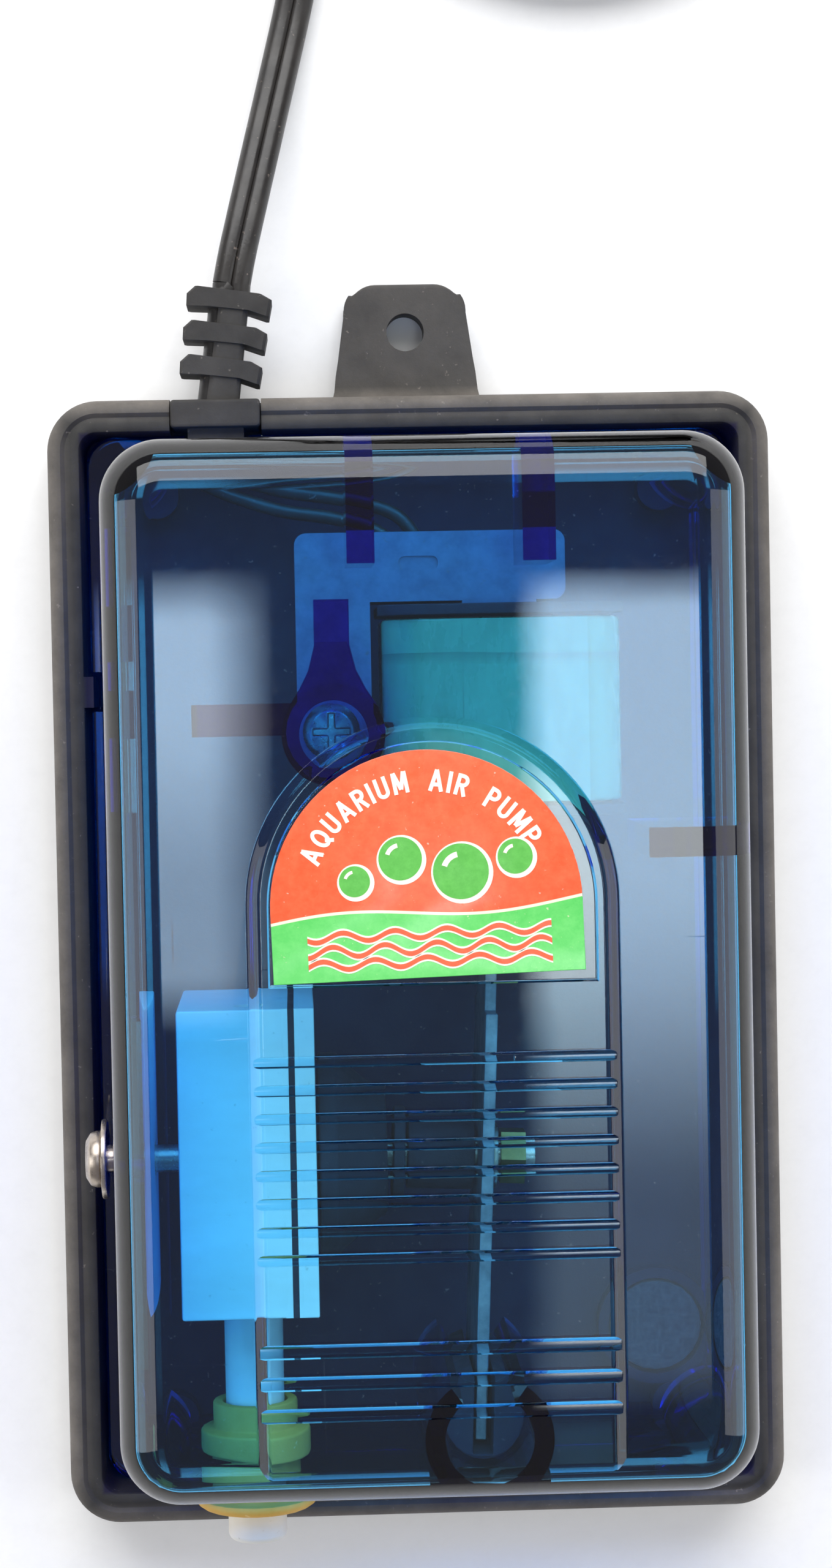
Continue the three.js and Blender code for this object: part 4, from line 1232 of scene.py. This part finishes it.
def chamber_lip():
    """The chamber's rim, which covers the gasket's edge."""
    ob = block(-15.0, -13.0, -34.16, -2.84, 11.04, 32.96)
    boolean(ob, block(-15.2, -12.8, -33.4, -3.6, 11.8, 32.2), "DIFFERENCE")
    ob.name = ob.data.name = "chamber_lip"
    finish_piece(ob, "casing", M["white_plastic"])


def tape_end():
    """The last lap of the tape: a thin sheet over the right part of the winding's top."""
    low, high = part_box("coil_winding")
    x0, x1 = 4.1 * MM, high.x - 3.6 * MM
    y0, y1 = low.y + 0.15 * MM, high.y - 0.15 * MM
    points, faces = [], []
    columns, rows = 24, 12
    for layer in (0.0, 0.09 * MM):
        for i in range(columns + 1):
            for j in range(rows + 1):
                p = Vector((x0 + (x1 - x0) * i / columns, y0 + (y1 - y0) * j / rows, high.z))
                p.z += layer + 0.05 * MM * noise.noise(p * 260) * (1 if layer else 0)
                points.append(p)
    stride = rows + 1
    sheet = (columns + 1) * stride
    for i in range(columns):
        for j in range(rows):
            a = i * stride + j
            faces.append((a, a + 1, a + 1 + stride, a + stride))
            faces.append(tuple(sheet + v for v in (a, a + stride, a + 1 + stride, a + 1)))
    border = list(range(stride)) + [i * stride + rows for i in range(1, columns + 1)]
    border += [columns * stride + j for j in range(rows - 1, -1, -1)]
    border += [i * stride for i in range(columns - 1, 0, -1)]
    for a, b in zip(border, border[1:] + border[:1]):
        faces.append((a, b, sheet + b, sheet + a))
    ob = mesh_object("tape_end", points, faces)
    finish_piece(ob, "casing", M["coil_tape"])


def plug_ribs():
    """Finger grips on both broad faces of the plug."""
    low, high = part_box("plug_body")
    mid = (low + high) / 2
    for side, z in (("top", high.z), ("bottom", low.z)):
        sign = 1 if side == "top" else -1
        for i in range(5):
            x = mid.x + (3.2 + 2.6 * i) * MM
            half = (11.5 - 0.7 * i) * MM
            line = [Vector((x, mid.y - half + 2 * half * k / 16, z - sign * 0.25 * MM)) for k in range(17)]
            ob = sweep(f"plug_rib_{side}_{i}", line, round_section(0.62, 12))
            finish_piece(ob, "casing", M["plug_rubber"], (), 50)


refined_pieces()
base_tray()
cover()
diaphragm()
leads()
label()
strain_relief()
air_chamber()
chamber_lip()
tape_end()
plug_ribs()

# ---- stage ----


def floor():
    """A pale sheet of card."""
    s = Surface("card", specular=0.2)
    fibres = s.noise(400, 5, 0.7)
    s.colour(s.mix(s.span(fibres, 0.3, 0.7), srgb(248, 248, 247), srgb(253, 253, 252)))
    s.roughness(s.span(fibres, 0.3, 0.7, 0.8, 0.95))
    size = 3.0
    corners = [(-size, -size), (size, -size), (size, size), (-size, size)]
    ob = mesh_object("floor", [Vector((x, y, -0.02 * MM)) for x, y in corners], [(0, 1, 2, 3)])
    if ob.data.polygons[0].normal.z < 0:
        ob.data.flip_normals()
    ob.data.materials.append(s.material)


def area_light(name, at, size, radiance, aim=(0, 0, 0.03)):
    data = bpy.data.lights.new(name, "AREA")
    data.shape = "RECTANGLE"
    data.size, data.size_y = size
    data.energy = radiance * math.pi * size[0] * size[1]
    light = add_object(name, data)
    light.location = at
    light.rotation_euler = (Vector(aim) - Vector(at)).to_track_quat("-Z", "Y").to_euler()
    return light


def fade_light(light, soft_across, soft_along, near=1.0, far=1.0, bend=0.5):
    """Lets a soft box fade to its borders, and from `near` to `far` along its length."""
    light.data.use_nodes = True
    tree = light.data.node_tree
    emission = tree.nodes["Emission"]

    def maths(operation, a, b):
        return tree_maths(tree, operation, a, b)

    parametric = tree.nodes.new("ShaderNodeNewGeometry").outputs["Parametric"]
    axes = tree.nodes.new("ShaderNodeSeparateXYZ")
    tree.links.new(parametric, axes.inputs[0])
    across, along = axes.outputs["X"], axes.outputs["Y"]

    def border(value, soft):
        nearest = maths("MINIMUM", value, maths("SUBTRACT", 1.0, value))
        return maths("MINIMUM", maths("DIVIDE", nearest, soft), 1.0)

    slope = tree.nodes.new("ShaderNodeMapRange")
    slope.interpolation_type = "SMOOTHSTEP"
    tree.links.new(along, slope.inputs["Value"])
    slope.inputs["From Min"].default_value = max(bend - 0.22, 0)
    slope.inputs["From Max"].default_value = min(bend + 0.22, 1)
    slope.inputs["To Min"].default_value = near
    slope.inputs["To Max"].default_value = far
    both = maths("MULTIPLY", border(across, soft_across), border(along, soft_along))
    tree.links.new(maths("MULTIPLY", both, slope.outputs["Result"]), emission.inputs["Strength"])


def studio():
    """A dim room, three large lights round the pump, and two soft boxes that mirror in the cover's top."""
    left = area_light("left_soft_box", (-0.049, -0.003, 0.648), (0.060, 0.13), 8.0)
    right = area_light("right_soft_box", (0.090, -0.0595, 0.648), (0.080, 0.241), 8.0)
    left.rotation_euler = right.rotation_euler = (0, 0, 0)
    left.data.color = right.data.color = (0.9, 0.97, 1.0)
    fade_light(left, 0.3, 0.12, 0.6, 1.0, 0.5)
    fade_light(right, 0.12, 0.05, 0.12, 1.0, 0.45)
    area_light("rear_light", (0.0, 0.75, 0.65), (1.4, 0.8), 4.4)
    area_light("left_light", (-0.9, -0.1, 0.5), (0.5, 0.9), 2.2)
    area_light("right_light", (0.9, -0.1, 0.5), (0.5, 0.9), 1.8)
    world = bpy.data.worlds.new("room")
    bpy.context.scene.world = world
    world.use_nodes = True
    background = world.node_tree.nodes["Background"]
    background.inputs["Color"].default_value = (0.96, 0.94, 1.0, 1.0)
    background.inputs["Strength"].default_value = 0.3


floor()
studio()
view = bpy.context.scene.view_settings
view.view_transform = "Standard"
view.look = "None"
view.exposure = 0.0
